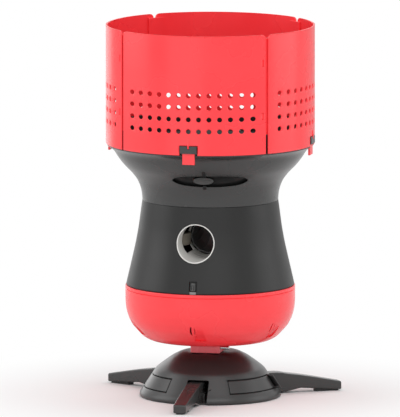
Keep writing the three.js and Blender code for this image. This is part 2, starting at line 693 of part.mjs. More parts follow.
// Funnel: the flared upper body, with a ledge that holds the feed deck down on the lower shell
const collarRadius = hopperRadius - panelWall - lipWall - 2 * lipGap - seatGap;
const collarTop = panelBottom + collarHeight;
const flareShares = [[0, 0], [0.02, 0.16], [0.055, 0.236], [0.158, 0.389], [0.3625, 0.542], [0.6375, 0.694],
  [0.8425, 0.847], [1, 1]];
const flareSpares = [1, 6];
const flare = between([waistRadius, waistHeight], [shoulderReach, shoulderHeight], flareShares);
const rimTop = panelBottom - seatGap;
const flareInner = inset(without(flare, flareSpares), flareWall);
const ledgeFoot = funnelDeckTop + seatGap;
const ledgeTop = ledgeFoot + ledgeThickness;
const footInside = waistRadius - flareWall;
const funnelOuter = [[footInside, waistHeight], ...flare, [rimReach, rimTop - rimEdge],
  [rimReach, rimTop], [collarRadius - collarWall, rimTop]];
const funnelInner = [[footInside, ledgeFoot], [flangeRadius, ledgeFoot], [flangeRadius, ledgeTop],
  [radiusAt(flareInner, ledgeTop), ledgeTop], ...flareInner.slice(1)];
const funnelTurned = turned([...funnelOuter, ...funnelInner.reverse()], shellSides);

// Control window in the flare, its backing plate with two tabs, and the oval start button
const windowShares = [[-0.5, -0.45], [-0.45, -0.2], [-0.36, -0.1], [-0.15, 0], [0.15, 0], [0.36, -0.1],
  [0.45, -0.2], [0.5, -0.45], [0.45, -0.72], [0.36, -0.88], [0.15, -1], [-0.15, -1], [-0.36, -0.88],
  [-0.45, -0.72]];
const windowOutline = windowShares.map(([x, z]) => [x * windowWidth, windowTop + z * windowHeight]);
const windowMiddle = windowTop - windowHeight / 2;
const buttonMiddle = windowMiddle + buttonRise;
const backingOutline = windowOutline.map(([x, z]) => [x + Math.sign(x) * backingLap,
  z + (z > windowMiddle ? backingLap : -backingLap)]);
const windowCut = aimed(frontPrism(windowOutline, [windowCutReach, rimReach]), panelAzimuth);
const backingDepth = flareWall + seatGap;
const backingShell = (wall) => solidOfTurn(inset(flare, wall));
const backing = cut(common(aimed(frontPrism(backingOutline, [windowCutReach, rimReach]), panelAzimuth),
  backingShell(backingDepth)), backingShell(backingDepth + backingWall));
const oval = (grow) => new THREE.Shape()
  .absellipse(0, buttonMiddle, buttonWidth / 2 + grow, buttonHeight / 2 + grow, 0, Math.PI * 2);
const ovalBar = (grow, [near, far]) => aimed(new THREE.ExtrudeGeometry(oval(grow),
  { depth: far - near, bevelEnabled: false, curveSegments: buttonCurveSteps })
  .translate(0, 0, near).rotateX(Math.PI / 2), buttonAzimuth);
const buttonBack = radiusAt(inset(flare, backingDepth + backingWall), buttonMiddle - buttonHeight / 2)
  - buttonTravel;
const backingCore = inset(flare, backingDepth + backingWall / 2);
const edgeTab = (edge, up) => {
  const out = (z) => radiusAt(flare, z) + seatGap;
  const step = up * tabProud;
  const near = edge - up * tabInset;
  const far = edge + up * tabReach;
  const root = radiusAt(backingCore, near);
  return aimed(sidePrism([[root, near - step], [out(near) + tabProud, near - step],
    [out(far) + tabProud, far], [out(far), far], [out(near), near], [root, near]],
    [-tabWidth / 2, tabWidth / 2]), buttonAzimuth);
};
piece('start_button', common(ovalBar(0, [buttonBack, rimReach]), backingShell(buttonInset)), 'greyButton');
piece('control_panel', join(cut(backing, ovalBar(runGap, [buttonBack - overrun, rimReach])),
  edgeTab(windowTop, 1), edgeTab(windowTop - windowHeight, -1)), 'darkInsert');

// Hopper ring: it stands on the funnel's rim inside the panels, with a loop at the middle of each
// panel, which the panel's tongue drops through
const panelInner = hopperRadius - panelWall;
const tongueFace = hopperRadius + tongueProud;
const bracketFace = tongueFace + bracketClearance + bracketBar;
const bracketSpan = [bracketBase, bracketBase + bracketHeight];
const throatHalf = tongueWidth / 2 + bracketClearance;
const bracket = cut(
  block([-bracketWidth / 2, bracketWidth / 2], [-bracketFace, collarWall / 2 - collarRadius], bracketSpan),
  block([-throatHalf, throatHalf], [-tongueFace - bracketClearance, -collarRadius], [rimTop, collarTop]));
const rimNotch = block([-throatHalf, throatHalf],
  [-rimReach - overrun, tongueThickness + bracketClearance - tongueFace],
  [shoulderHeight - overrun, rimTop + overrun]);
const hopperAzimuths = azimuths(panelCount);
const rimNotches = hopperAzimuths.map((azimuth) => aimed(rimNotch, azimuth));
piece('funnel', cut(funnelTurned, windowCut, ...flangeHoles, ...rimNotches), 'blackShell');
const ringTurned = turned([[collarRadius - collarWall, panelBottom], [collarRadius, panelBottom],
  [collarRadius, collarTop], [collarRadius - collarWall, collarTop]], shellSides);
const ringBrackets = hopperAzimuths.map((azimuth) => aimed(bracket, azimuth));
piece('hopper_ring', join(ringTurned, ...ringBrackets), 'blackShell');

// Feed deck: a plate inside the funnel's foot, under its ledge, with three screws through to the flange
const ballHole = rod(chuteBore, [waistHeight - overrun, funnelDeckTop + overrun], drumSides)
  .translate(0, pocketCircle, 0);
piece('feed_deck', cut(rod(footInside - seatGap, [waistHeight, funnelDeckTop], shellSides),
  feedShaftHole, ballHole, ...flangeHoles), 'innerPlastic');
const screwSeat = ledgeTop + seatGap;
const deckScrew = join(
  rod(screwHeadRadius, [screwSeat, screwSeat + screwHeadHeight], screwSides)
    .translate(0, -flangeScrewCircle, 0),
  rod(screwRadius, [flangeFoot, screwSeat + screwHeadHeight], screwSides)
    .translate(0, -flangeScrewCircle, 0));
for (const [i, azimuth] of deckAzimuths.entries()) {
  piece(`deck_screw_${i + 1}`, deckScrew, 'brightSteel', azimuth);
}

// Hopper panels: quarter shells pierced straight through, hooked to each other behind their seams
const panelTop = panelBottom + panelHeight;
const seamAngle = fullTurn / panelCount / 2;
const edgeAngle = radians(seamAngle) - panelSeam / 2 / hopperRadius;
const edgeX = hopperRadius * Math.sin(edgeAngle);
const holeColumns = Math.floor(2 * (edgeX - holeMargin) / holePitch);
const facetEdges = Array.from({ length: holeColumns + 1 },
  (_, i) => (i - holeColumns / 2) * holePitch);
const arcOf = (radius) => [-edgeAngle, ...facetEdges.map((u) => Math.asin(u / radius)), edgeAngle]
  .map((angle) => [radius * Math.sin(angle), -radius * Math.cos(angle)]);
const panelPlan = [...arcOf(hopperRadius), ...arcOf(panelInner).reverse()];
const holeDepths = [-hopperRadius - overrun, -facetEdges.at(-1)];
const holeCutters = facetEdges.slice(1).flatMap((u) => Array.from({ length: holeRows }, (_, row) =>
  rodY(holeRadius, holeDepths, holeSides)
    .translate(u - holePitch / 2, 0, panelTop - holeTopRowDrop - row * holeRowPitch)));
function cornerCutter(side) {
  const shape = new THREE.Shape();
  shape.moveTo(edgeX + overrun, panelTop - panelCorner);
  shape.lineTo(edgeX + overrun, panelTop + overrun);
  shape.lineTo(edgeX - panelCorner, panelTop + overrun);
  shape.lineTo(edgeX - panelCorner, panelTop);
  shape.absarc(edgeX - panelCorner, panelTop - panelCorner, panelCorner, Math.PI / 2, 0, true);
  const slab = new THREE.ExtrudeGeometry(shape,
    { depth: hopperRadius, bevelEnabled: false, curveSegments: cornerSteps });
  return slab.rotateX(Math.PI / 2).translate(0, -panelCorner, 0).scale(side, 1, 1);
}
const notchHalf = bracketWidth / 2 + bracketClearance;
const notchTop = bracketSpan[1] + seatGap;
const notch = block([-notchHalf, notchHalf], [-hopperRadius - overrun, 0], [panelBottom - overrun, notchTop]);
const tongueBack = tongueFace - tongueThickness;
const tongue = sidePrism([[tongueFace, panelBottom - tongueDrop], [tongueFace, notchTop],
  [hopperRadius - tongueWedgeInset, notchTop + tongueWedge], [panelInner, notchTop + tongueWedge],
  [tongueBack, notchTop], [tongueBack, panelBottom - tongueDrop]], [-tongueWidth / 2, tongueWidth / 2]);
const hookTurn = hookInset / hopperRadius * fullTurn / (2 * Math.PI);
const hookSpans = Object.values(hookDrops).map((drop) => [-hookHeight / 2, hookHeight / 2]
  .map((half) => panelTop - drop + half));
const hookSlots = hookSpans.map(([z0, z1]) => aimed(
  block([-hookWidth / 2 - seatGap, hookWidth / 2 + seatGap], [-hopperRadius - overrun, overrun - panelInner],
    [z0 - seatGap, z1 + seatGap]), seamAngle - hookTurn));
const lipOuter = panelInner - lipGap;
const lipAngles = [lipReach, 0, -lipReach].map((reach) => -radians(seamAngle) - reach / hopperRadius);
const lipArc = (radius) => lipAngles.map((angle) => [radius * Math.sin(angle), -radius * Math.cos(angle)]);
const lipSpan = [panelBottom + lipFoot, panelTop - panelCorner];
const lip = prism([...lipArc(lipOuter - seatGap), ...lipArc(lipOuter - lipWall).reverse()], lipSpan);
const lipRoot = aimed(block([-lipReach / 2, lipReach / 2 - lipRootMargin],
  [-panelInner - panelWall / 2, lipWall / 2 - lipOuter], lipSpan), -seamAngle + hookTurn);
const hooks = hookSpans.map((span) => aimed(
  block([-hookWidth / 2, hookWidth / 2], [-hopperRadius + seatGap, lipWall / 2 - lipOuter], span),
  -seamAngle - hookTurn));
const panel = join(cut(prism(panelPlan, [panelBottom, panelTop]), notch, cornerCutter(1), cornerCutter(-1),
  ...holeCutters, ...hookSlots), tongue, lip, lipRoot, ...hooks);
const panelNames = ['front_panel', 'right_panel', 'rear_panel', 'left_panel'];
for (const [i, azimuth] of hopperAzimuths.entries()) piece(panelNames[i], panel, 'redShell', azimuth);

// Seam latch: a sprung key in the shell's window, over a hook that stands on the bowl's rim
const latchOutline = [[-1, 0], [1, 0], [1, 1], [-1, 1]].map(([x, z]) => [x * (latchWidth / 2 - seatGap),
  latchBase + seatGap + z * (latchHeight - 2 * seatGap)]);
const shellInset = (wall) => solidOfTurn(inset(shellOuter.slice(1), wall));
piece('seam_latch', cut(common(frontPrism(latchOutline, [waistRadius, shellFootRadius + overrun]),
  shellInset(latchInset)), shellInset(latchInset + latchThickness)), 'blackShell');
piece('latch_hook', block([-hookTongueWidth / 2, hookTongueWidth / 2],
  [seatGap - shellFootRadius, seatGap + hookTongueDepth - shellFootRadius],
  [bowlHeight + seatGap, latchBase - seatGap]), 'latchGrey');

// Service plate in the rear window, with the power switch and the supply inlet
const serviceTop = serviceBase + serviceHeight + serviceLap;
const flatShare = Math.cos(Math.PI / shellSides);
const serviceFace = Math.sqrt((radiusAt(shellCurve, serviceTop) * flatShare) ** 2
  - (serviceWidth / 2 + serviceLap) ** 2) - seatGap;
const serviceBack = serviceFace - servicePlateThickness;
const serviceMiddle = serviceBase + serviceHeight / 2;
const inletBar = (radius, reaches) => rodY(radius, reaches, rodSides)
  .translate(inletAcross, 0, serviceMiddle);
const switchBlock = (grow, reaches) => block(
  [-switchAcross - switchWidth / 2 - grow, -switchAcross + switchWidth / 2 + grow], reaches,
  [serviceMiddle - switchHeight / 2 - grow, serviceMiddle + switchHeight / 2 + grow]);
piece('service_plate', cut(
  block([-serviceWidth / 2 - serviceLap, serviceWidth / 2 + serviceLap], [serviceBack, serviceFace],
    [serviceBase - serviceLap, serviceTop]),
  inletBar(inletRadius + seatGap, [serviceBack - overrun, serviceFace + overrun]),
  switchBlock(seatGap, [serviceBack - overrun, serviceFace + overrun])), 'blackShell');
const inletFace = serviceFace + inletProud;
const inletFloor = inletFace - inletDepth + inletProud;
piece('supply_inlet', cut(inletBar(inletRadius, [inletFace - inletDepth, inletFace]),
  inletBar(inletBore, [inletFloor, inletFace + overrun])), 'padRubber');
piece('inlet_pin', inletBar(inletPinRadius, [inletFloor + seatGap, inletFace - inletProud]), 'brightSteel');
const switchFace = serviceFace + switchRim;
piece('switch_housing', cut(join(
  switchBlock(0, [serviceFace - switchDepth, switchFace]),
  switchBlock(switchRim, [serviceFace + seatGap, switchFace])),
switchBlock(-switchRim, [serviceFace - switchDepth + switchRim, switchFace + overrun])), 'blackShell');
const rockerHalf = switchHeight / 2 - switchRim - 2 * runGap;
const rockerWidth = switchWidth - 2 * switchRim - 2 * runGap;
const rocker = sidePrism([[-rockerHalf, -rockerHalf / 2], [-rockerProud, -rockerHalf],
  [rockerProud, -rockerHalf], [0, 0], [rockerProud, rockerHalf], [-rockerProud, rockerHalf],
  [-rockerHalf, rockerHalf / 2]], [-rockerWidth / 2, rockerWidth / 2])
  .rotateZ(Math.PI).rotateX(radians(rockerSwing))
  .translate(-switchAcross, switchFace - rockerProud / 2, serviceMiddle);
piece('switch_rocker', rocker, 'padRubber');

export default robot;
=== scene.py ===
"""Blender scene of a table tennis robot: a hopper of four pierced panels on a flared funnel, a head with
two throwing wheels and a round ball outlet, and a domed foot on three plug-in legs.
Metres, +Z up, the front faces -Y. Azimuths are in degrees, counted from the front towards +X."""
import math
import bmesh
import bpy
import numpy as np
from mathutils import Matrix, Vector


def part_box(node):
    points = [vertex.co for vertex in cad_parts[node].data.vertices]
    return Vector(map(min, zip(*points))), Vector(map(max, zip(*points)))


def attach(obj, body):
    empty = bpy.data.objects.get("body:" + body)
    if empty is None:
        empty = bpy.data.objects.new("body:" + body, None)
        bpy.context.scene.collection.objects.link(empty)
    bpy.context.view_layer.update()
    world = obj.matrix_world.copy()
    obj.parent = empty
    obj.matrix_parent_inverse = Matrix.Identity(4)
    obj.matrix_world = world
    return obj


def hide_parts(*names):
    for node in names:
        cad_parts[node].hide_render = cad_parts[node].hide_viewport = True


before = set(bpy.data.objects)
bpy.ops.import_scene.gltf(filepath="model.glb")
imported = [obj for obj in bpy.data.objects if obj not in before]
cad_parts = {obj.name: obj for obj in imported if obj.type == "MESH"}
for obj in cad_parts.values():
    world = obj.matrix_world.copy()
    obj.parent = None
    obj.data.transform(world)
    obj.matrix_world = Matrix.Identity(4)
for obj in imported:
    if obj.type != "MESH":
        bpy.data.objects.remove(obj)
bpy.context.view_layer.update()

mm = 0.001

# Foot dome: one glossy charcoal ABS moulding, open below. Three slots take the legs, and between them the
# wall is set back in three long framed grooves. The head's spindle comes up through the hole in its crown.


def grid_faces(rows, columns, rows_closed, columns_closed):
    """The quads of a grid counted row by row; a closed way runs on from its last line to its first."""
    row = np.arange(rows if rows_closed else rows - 1)[:, None]
    column = np.arange(columns if columns_closed else columns - 1)[None, :]
    row_after, column_after = (row + 1) % rows, (column + 1) % columns
    quads = np.broadcast_arrays(row * columns + column, row * columns + column_after,
                                row_after * columns + column_after, row_after * columns + column)
    return np.stack(quads, -1).reshape(-1, 4)


def piece(name, points, faces):
    """An object made of points and faces, with doubles merged and all faces turned outwards."""
    mesh = bpy.data.meshes.new(name)
    mesh.from_pydata(np.reshape(points, (-1, 3)).tolist(), [], [list(face) for face in faces])
    work = bmesh.new()
    work.from_mesh(mesh)
    bmesh.ops.remove_doubles(work, verts=work.verts, dist=1e-6)
    bmesh.ops.dissolve_degenerate(work, edges=work.edges, dist=1e-7)
    bmesh.ops.recalc_face_normals(work, faces=work.faces)
    work.to_mesh(mesh)
    work.free()
    made = bpy.data.objects.new(name, mesh)
    bpy.context.scene.collection.objects.link(made)
    return made


def swept(name, profile, start=0, end=360, sides=144):
    """A closed outline of (radius, height) carried round Z: at azimuth a a point lies at
    (radius sin a, -radius cos a, height). A part turn is closed by a flat face at each end."""
    whole = end - start == 360
    turn = np.radians(np.linspace(start, end, sides, endpoint=not whole))[:, None]
    radius, height = np.asarray(profile, float).T
    points = np.stack([radius * np.sin(turn), -radius * np.cos(turn), height + 0 * turn], -1)
    faces = grid_faces(len(turn), len(profile), whole, True).tolist()
    if not whole:
        faces += [range(len(profile)), range((len(turn) - 1) * len(profile), points.size // 3)]
    return piece(name, points, faces)


def faired(points, reach=6 * mm, pitch=1.5 * mm):
    """A smooth curve close to a polyline: points at an even pitch along it, each then the mean of its
    neighbours within a reach, weighted by a raised cosine. The two ends stay where they are."""
    points = np.asarray(points, float)
    along = np.append(0, np.cumsum(np.linalg.norm(np.diff(points, axis=0), axis=1)))
    even = np.linspace(0, along[-1], math.ceil(along[-1] / pitch) + 1)
    line = np.stack([np.interp(even, along, column) for column in points.T], -1)
    half = max(1, min(round(reach / pitch), len(line) - 1))
    weights = np.hanning(2 * half + 3)[1:-1]
    longer = np.vstack([2 * line[0] - line[half:0:-1], line, 2 * line[-1] - line[-2:-half - 2:-1]])
    return np.stack([np.convolve(column, weights / weights.sum(), "valid") for column in longer.T], -1)


def sunk(curve, wall):
    """An open curve pushed to its left by a wall, square to its slope at each point."""
    slope = np.gradient(curve, axis=0)
    slope /= np.linalg.norm(slope, axis=1)[:, None]
    return curve + wall * np.stack([-slope[:, 1], slope[:, 0]], -1)


def walled(curve, wall, steps=6):
    """The closed section of a shell: a curve, the curve sunk by a wall, and a half round at both ends."""
    inner = sunk(curve, wall)

    def nose(first, second, onward):
        turn = np.linspace(0, np.pi, steps)[1:-1, None]
        middle, arm = (first + second) / 2, (first - second) / 2
        return middle + arm * np.cos(turn) + onward * wall / 2 * np.sin(turn)
    far = curve[-1] - curve[-2]
    near = curve[0] - curve[1]
    return np.vstack([curve, nose(curve[-1], inner[-1], far / np.linalg.norm(far)), inner[::-1],
                      nose(inner[0], curve[0], near / np.linalg.norm(near))])


def rounded(corners, reach, steps=4):
    """A closed outline whose corners are each swept into a parabola, which leaves the sides a reach from
    the corner, or halfway along a shorter side."""
    corners = np.asarray(corners, float)
    arms = [np.roll(corners, shift, 0) - corners for shift in (1, -1)]
    start, end = [corners + arm * np.minimum(reach / np.linalg.norm(arm, axis=1), 0.499)[:, None]
                  for arm in arms]
    t = np.linspace(0, 1, steps + 1)[None, :, None]
    curve = (1 - t) ** 2 * start[:, None] + 2 * t * (1 - t) * corners[:, None] + t ** 2 * end[:, None]
    return curve.reshape(-1, corners.shape[1])


def box_outline(x0, y0, x1, y1):
    """The four corners of a rectangle between two opposite ones, anticlockwise."""
    return np.array([[x0, y0], [x1, y0], [x1, y1], [x0, y1]])


def trimmed(outline, reach):
    """A closed outline of (x, y) pulled inwards by a reach, each point along the mitre of its two sides."""
    side = np.roll(outline, -1, 0) - outline
    side /= np.maximum(np.linalg.norm(side, axis=1), 1e-12)[:, None]
    area = np.sum(outline[:, 0] * np.roll(outline[:, 1], -1) - outline[:, 1] * np.roll(outline[:, 0], -1))
    inward = np.stack([-side[:, 1], side[:, 0]], -1) * np.sign(area)
    before = np.roll(inward, 1, 0)
    return outline + reach * (inward + before) / (1 + np.sum(inward * before, axis=1))[:, None]


def loft(name, sections):
    """Outlines of (x, y, z) with equal counts, joined in turn and closed by a flat face at each end."""
    sections = np.asarray(sections, float)
    count, around = sections.shape[:2]
    caps = [range(around), range((count - 1) * around, count * around)]
    return piece(name, sections, [*grid_faces(count, around, False, True).tolist(), *caps])


def slab(name, outline, low, high, edge, axis="z", steps=3):
    """An outline raised between two heights, its rims rounded by an edge: over the quarter turn t the
    outline is pulled in by edge (1 - sin t) at edge (1 - cos t) from the face."""
    turn = np.linspace(0, np.pi / 2, steps + 1)
    pulls, drops = edge * (1 - np.sin(turn)), edge * (1 - np.cos(turn))
    levels = [*zip(pulls, low + drops), *zip(pulls[::-1], high - drops[::-1])]
    order = {"z": [0, 1, 2], "y": [0, 2, 1], "x": [2, 0, 1]}[axis]
    outline = np.asarray(outline, float)
    return loft(name, [np.column_stack([trimmed(outline, pull), np.full(len(outline), level)])[:, order]
                       for pull, level in levels])


def swung(made, azimuth):
    """Turns a piece's mesh round Z from the front to an azimuth."""
    turn = math.radians(azimuth)
    points = np.array([vertex.co for vertex in made.data.vertices])
    matrix = np.array([[math.cos(turn), -math.sin(turn), 0], [math.sin(turn), math.cos(turn), 0], [0, 0, 1]])
    made.data.vertices.foreach_set("co", (points @ matrix.T).ravel())
    made.data.update()
    return made


def applied(made):
    """Puts what a piece's modifiers make of it in place of its mesh."""
    after = bpy.data.meshes.new_from_object(made.evaluated_get(bpy.context.evaluated_depsgraph_get()))
    made.modifiers.clear()
    made.data = after
    return made


def joined(made, operation, *tools):
    """Adds tools to a piece (UNION) or cuts them out of it (DIFFERENCE), exactly; the tools are used up."""
    for tool in tools:
        step = made.modifiers.new("join", "BOOLEAN")
        step.operation, step.solver, step.object = operation, "EXACT", tool
    applied(made)
    for tool in tools:
        bpy.data.objects.remove(tool)
    return made


def finished(made, edge=0.0, sharp=32):
    """Rounds a piece's sharp edges by a width, and shades it smooth between those that stay sharp."""
    if edge:
        work = bmesh.new()
        work.from_mesh(made.data)
        bmesh.ops.remove_doubles(work, verts=work.verts, dist=edge / 4)
        bmesh.ops.dissolve_degenerate(work, edges=work.edges, dist=edge / 8)
        work.to_mesh(made.data)
        work.free()
        bevel = made.modifiers.new("edges", "BEVEL")
        bevel.width, bevel.segments = edge, 2
        bevel.limit_method, bevel.angle_limit = "ANGLE", math.radians(sharp)
        bevel.use_clamp_overlap = False
        applied(made)
    made.data.shade_smooth()
    made.data.set_sharp_from_angle(angle=math.radians(sharp))
    weigh = made.modifiers.new("normals", "WEIGHTED_NORMAL")
    weigh.keep_sharp = True
    return applied(made)


def plastic(name, colour, roughness, grain=0.05, drift=0.05, coat=0.0, metallic=0.0, shine=0.5,
            cell=1.2 * mm):
    """A moulded surface: a slow noise lightens and darkens the colour by the drift and moves the gloss with
    it, and a fine noise of the given cell raises a bump of the given grain. Shine is the specular level."""
    material = bpy.data.materials.new(name)
    material.use_nodes = True
    nodes, links = material.node_tree.nodes, material.node_tree.links
    shader = nodes["Principled BSDF"]
    shader.inputs["Metallic"].default_value = metallic
    shader.inputs["Specular IOR Level"].default_value = shine
    shader.inputs["Coat Weight"].default_value = coat
    shader.inputs["Coat Roughness"].default_value = 0.08
    place = nodes.new("ShaderNodeTexCoord").outputs["Object"]

    def noise(scale, detail):
        made = nodes.new("ShaderNodeTexNoise")
        made.inputs["Scale"].default_value, made.inputs["Detail"].default_value = scale, detail
        links.new(place, made.inputs["Vector"])
        return made.outputs["Fac"]

    def ranged(value, low, high):
        made = nodes.new("ShaderNodeMapRange")
        made.inputs["From Min"].default_value, made.inputs["From Max"].default_value = 0.3, 0.7
        made.inputs["To Min"].default_value, made.inputs["To Max"].default_value = low, high
        links.new(value, made.inputs["Value"])
        return made.outputs["Result"]
    slow = noise(14, 3)
    tint = nodes.new("ShaderNodeMix")
    tint.data_type = "RGBA"
    for socket, share in ((6, 1 - drift), (7, 1 + drift)):
        tint.inputs[socket].default_value = (*[min(1, channel * share) for channel in colour], 1)
    links.new(ranged(slow, 0, 1), tint.inputs[0])
    links.new(tint.outputs[2], shader.inputs["Base Color"])
    links.new(ranged(slow, roughness * 0.85, roughness * 1.15), shader.inputs["Roughness"])
    bump = nodes.new("ShaderNodeBump")
    bump.inputs["Strength"].default_value = grain
    bump.inputs["Distance"].default_value = cell / 4
    links.new(noise(1 / cell, 2), bump.inputs["Height"])
    links.new(bump.outputs["Normal"], shader.inputs["Normal"])
    return material


def dress(made, material, body, slot, *nodes):
    """Gives a piece its material, sets it on a body, and lets it stand for the frame's solids."""
    made.data.materials.clear()
    made.data.materials.append(material)
    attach(made, body)
    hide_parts(*nodes)


def dress_solids(material, *nodes):
    """Gives solids of the frame, which keep their shape, a better material."""
    for node in nodes:
        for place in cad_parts[node].material_slots:
            place.material = material


foot_radius, foot_wall = 97 * mm, 2.6 * mm
leg_azimuths = {"front": 0, "right": 120, "left": 240}
groove_azimuths = (60, 180, 300)
glossy_charcoal = plastic("glossy_charcoal", (0.022, 0.022, 0.022), 0.32, grain=0.03, drift=0.03)

dome_line = np.array([[97, 1.9], [97, 5], [96, 7.5], [92.6, 12], [83.3, 25.8], [74.4, 39.2], [67.4, 44.8],
                      [59.8, 50.4], [51.8, 56], [41.2, 61.3], [35.5, 63], [14, 63], [12.4, 63]]) * mm
dome_curve = faired(dome_line, reach=5 * mm)
dome = swept("foot_dome", walled(dome_curve, foot_wall, steps=5))
slot_half, slot_top, slot_root = 15 * mm, 32 * mm, 58 * mm
slot_outline = rounded(box_outline(-slot_half, -4 * mm, slot_half, slot_top), 2.5 * mm)
groove_half, groove_low, groove_high, groove_width, groove_depth = 31, 13.6 * mm, 32 * mm, 1.5 * mm, 2.3 * mm


def groove_cutter(start, end, low, high):
    """A bar sunk in the dome's wall between two azimuths and two heights: it reaches from r(z) less the
    groove's depth to r(z) + 8 mm."""
    height = np.linspace(low, high, max(2, round((high - low) / (3 * mm)) + 1))
    radius = np.interp(height, dome_curve[:, 1], dome_curve[:, 0])
    section = np.vstack([np.column_stack([radius - groove_depth, height]),
                         np.column_stack([radius + 8 * mm, height])[::-1]])
    return swept("groove_cutter", section, start, end, max(3, round((end - start) / 2)))


cutters = [swung(slab("slot_cutter", slot_outline, -foot_radius - 4 * mm, -slot_root, 0.5 * mm, "y"), azimuth)
           for azimuth in leg_azimuths.values()]
line_angle = math.degrees(groove_width / foot_radius)
for azimuth in groove_azimuths:
    first, last = azimuth - groove_half, azimuth + groove_half
    cutters += [groove_cutter(first, last, groove_low, groove_low + groove_width),
                groove_cutter(first, last, groove_high - groove_width, groove_high),
                groove_cutter(first, first + line_angle, groove_low + 0.1 * mm, groove_high - 0.1 * mm),
                groove_cutter(last - line_angle, last, groove_low + 0.1 * mm, groove_high - 0.1 * mm)]
joined(dome, "DIFFERENCE", *cutters)
dress(finished(dome, 0.5 * mm), glossy_charcoal, "foot", "black_gloss", "base_dome")

# Legs: charcoal ABS bars, moulded hollow from below, which taper to a rounded tip. They plug into the foot
# to one side of their slots' middles and can be drawn straight out. Each stands on a glued rubber wedge.
leg_shift, leg_reach = -3 * mm, 186 * mm
leg_stations = np.array([[58, 10, 3.3, 29.5], [92.4, 10, 3.3, 29.5], [92.6, 10, 1.8, 29.5],
                         [97, 9.9, 1.8, 29.5], [106, 9.8, 1.8, 27.5], [126, 9.5, 6.3, 24.6],
                         [145, 9.3, 4.8, 21.2], [180, 8.85, 1.9, 14.2], [186, 8.75, 1.8, 13.1]]) * mm
satin_charcoal = plastic("satin_charcoal", (0.029, 0.029, 0.0285), 0.26, grain=0.04, drift=0.03, shine=0.6,
                         cell=0.8 * mm)
pad_rubber = plastic("pad_rubber", (0.026, 0.026, 0.026), 0.75, grain=0.2, cell=0.7 * mm)
tip_round = 2.2 * mm
for name, azimuth in leg_azimuths.items():
    reach = np.concatenate([[58, 58.4, 59], np.linspace(60, 92.4, 4), np.linspace(92.6, 183, 14),
                            186 - 2.2 + 2.2 * np.sin(np.linspace(0, np.pi / 2, 6))]) * mm
    half, under, top = [np.interp(reach, leg_stations[:, 0], column) for column in leg_stations.T[1:]]
    into_tip = np.clip((reach - leg_reach + tip_round) / tip_round, 0, 1)
    into_root = np.clip((59 * mm - reach) / mm, 0, 1)
    pull = tip_round * 0.8 * (1 - np.sqrt(1 - into_tip ** 2)) + 0.6 * mm * into_root
    bars = []
    for r, h, z0, z1, p in zip(reach, half, under, top, pull):
        h, z0, z1 = h - p, z0 + 0.4 * p, z1 - p
        section = rounded(box_outline(leg_shift - h, z0, leg_shift + h, z1), 2 * mm, 3)
        bars.append(np.insert(section, 1, -r, axis=1))
    leg = swung(loft(f"{name}_leg_bar", bars), azimuth)
    dress(finished(leg, sharp=50), satin_charcoal, f"{name}_leg", "black_shell", f"{name}_leg")
    pad_outline = rounded(box_outline(-8.75, -183, 2.75, -149) * mm, 3 * mm)
    pad = slab(f"{name}_leg_foot_pad", pad_outline, 0, 1.5 * mm, 0.4 * mm)
    points = np.array([vertex.co for vertex in pad.data.vertices])
    raise_by = np.interp(-points[:, 1], leg_stations[:, 0], leg_stations[:, 2]) - 1.4 * mm
    points[:, 2] += np.where(points[:, 2] > 0.75 * mm, raise_by, 0)
    pad.data.vertices.foreach_set("co", points.ravel())
    dress(finished(swung(pad, azimuth), sharp=50), pad_rubber, f"{name}_leg", "pad_rubber", f"{name}_leg_pad")

# Foot plate, its three self-tapping screws, and the turning gear behind it: a ribbed ABS plate with guide
# rails for the legs, a sintered bronze ring, an acetal gear, and a bronze pinion on a plated motor can.
bright_steel = plastic("bright_steel", (0.62, 0.62, 0.63), 0.24, grain=0.03, drift=0.03, metallic=1.0)
motor_steel = plastic("motor_steel", (0.36, 0.37, 0.38), 0.34, grain=0.06, drift=0.05, metallic=0.9)
sintered_bronze = plastic("sintered_bronze", (0.40, 0.24, 0.10), 0.4, grain=0.15, metallic=0.8, cell=0.5 * mm)
natural_acetal = plastic("natural_acetal", (0.74, 0.71, 0.64), 0.42, grain=0.05)
grey_plastic = plastic("grey_plastic", (0.13, 0.13, 0.13), 0.5, grain=0.1)
dress_solids(satin_charcoal, "base_plate")
dress_solids(bright_steel, "base_screw_1", "base_screw_2", "base_screw_3")
dress_solids(sintered_bronze, "thrust_bearing", "pan_pinion")
dress_solids(natural_acetal, "pan_gear")
dress_solids(motor_steel, "pan_motor")
dress_solids(grey_plastic, "pan_spindle")

# Tilt block: a red ABS lug on the bowl's underside, painted a paler pink red than the bowl for the white
# sheen its face reflects. Its channel straddles the spindle's post, a steel pin with a nut runs through both,
# and a short steel pin in its right side stops the tilt.


def circle(radius, middle=(0, 0), sides=48, first=0):
    """The points of a circle at an even pitch, anticlockwise, as (x, y)."""
    turn = first + np.linspace(0, 2 * np.pi, sides, endpoint=False)
    return np.stack([middle[0] + radius * np.cos(turn), middle[1] + radius * np.sin(turn)], -1)


def box_cutter(low, high):
    """A plain block between two corners in millimetres, for cutting."""
    (x0, y0, z0), (x1, y1, z1) = np.array([low, high]) * mm
    return loft("cutter", [[[x0, y0, z], [x1, y0, z], [x1, y1, z], [x0, y1, z]] for z in (z0, z1)])


def pin(name, radius, start, end, middle, edge):
    """A round bar along X between two places, about a middle (y, z), with chamfered ends."""
    return slab(name, circle(radius, middle, 32), start, end, edge, "x")


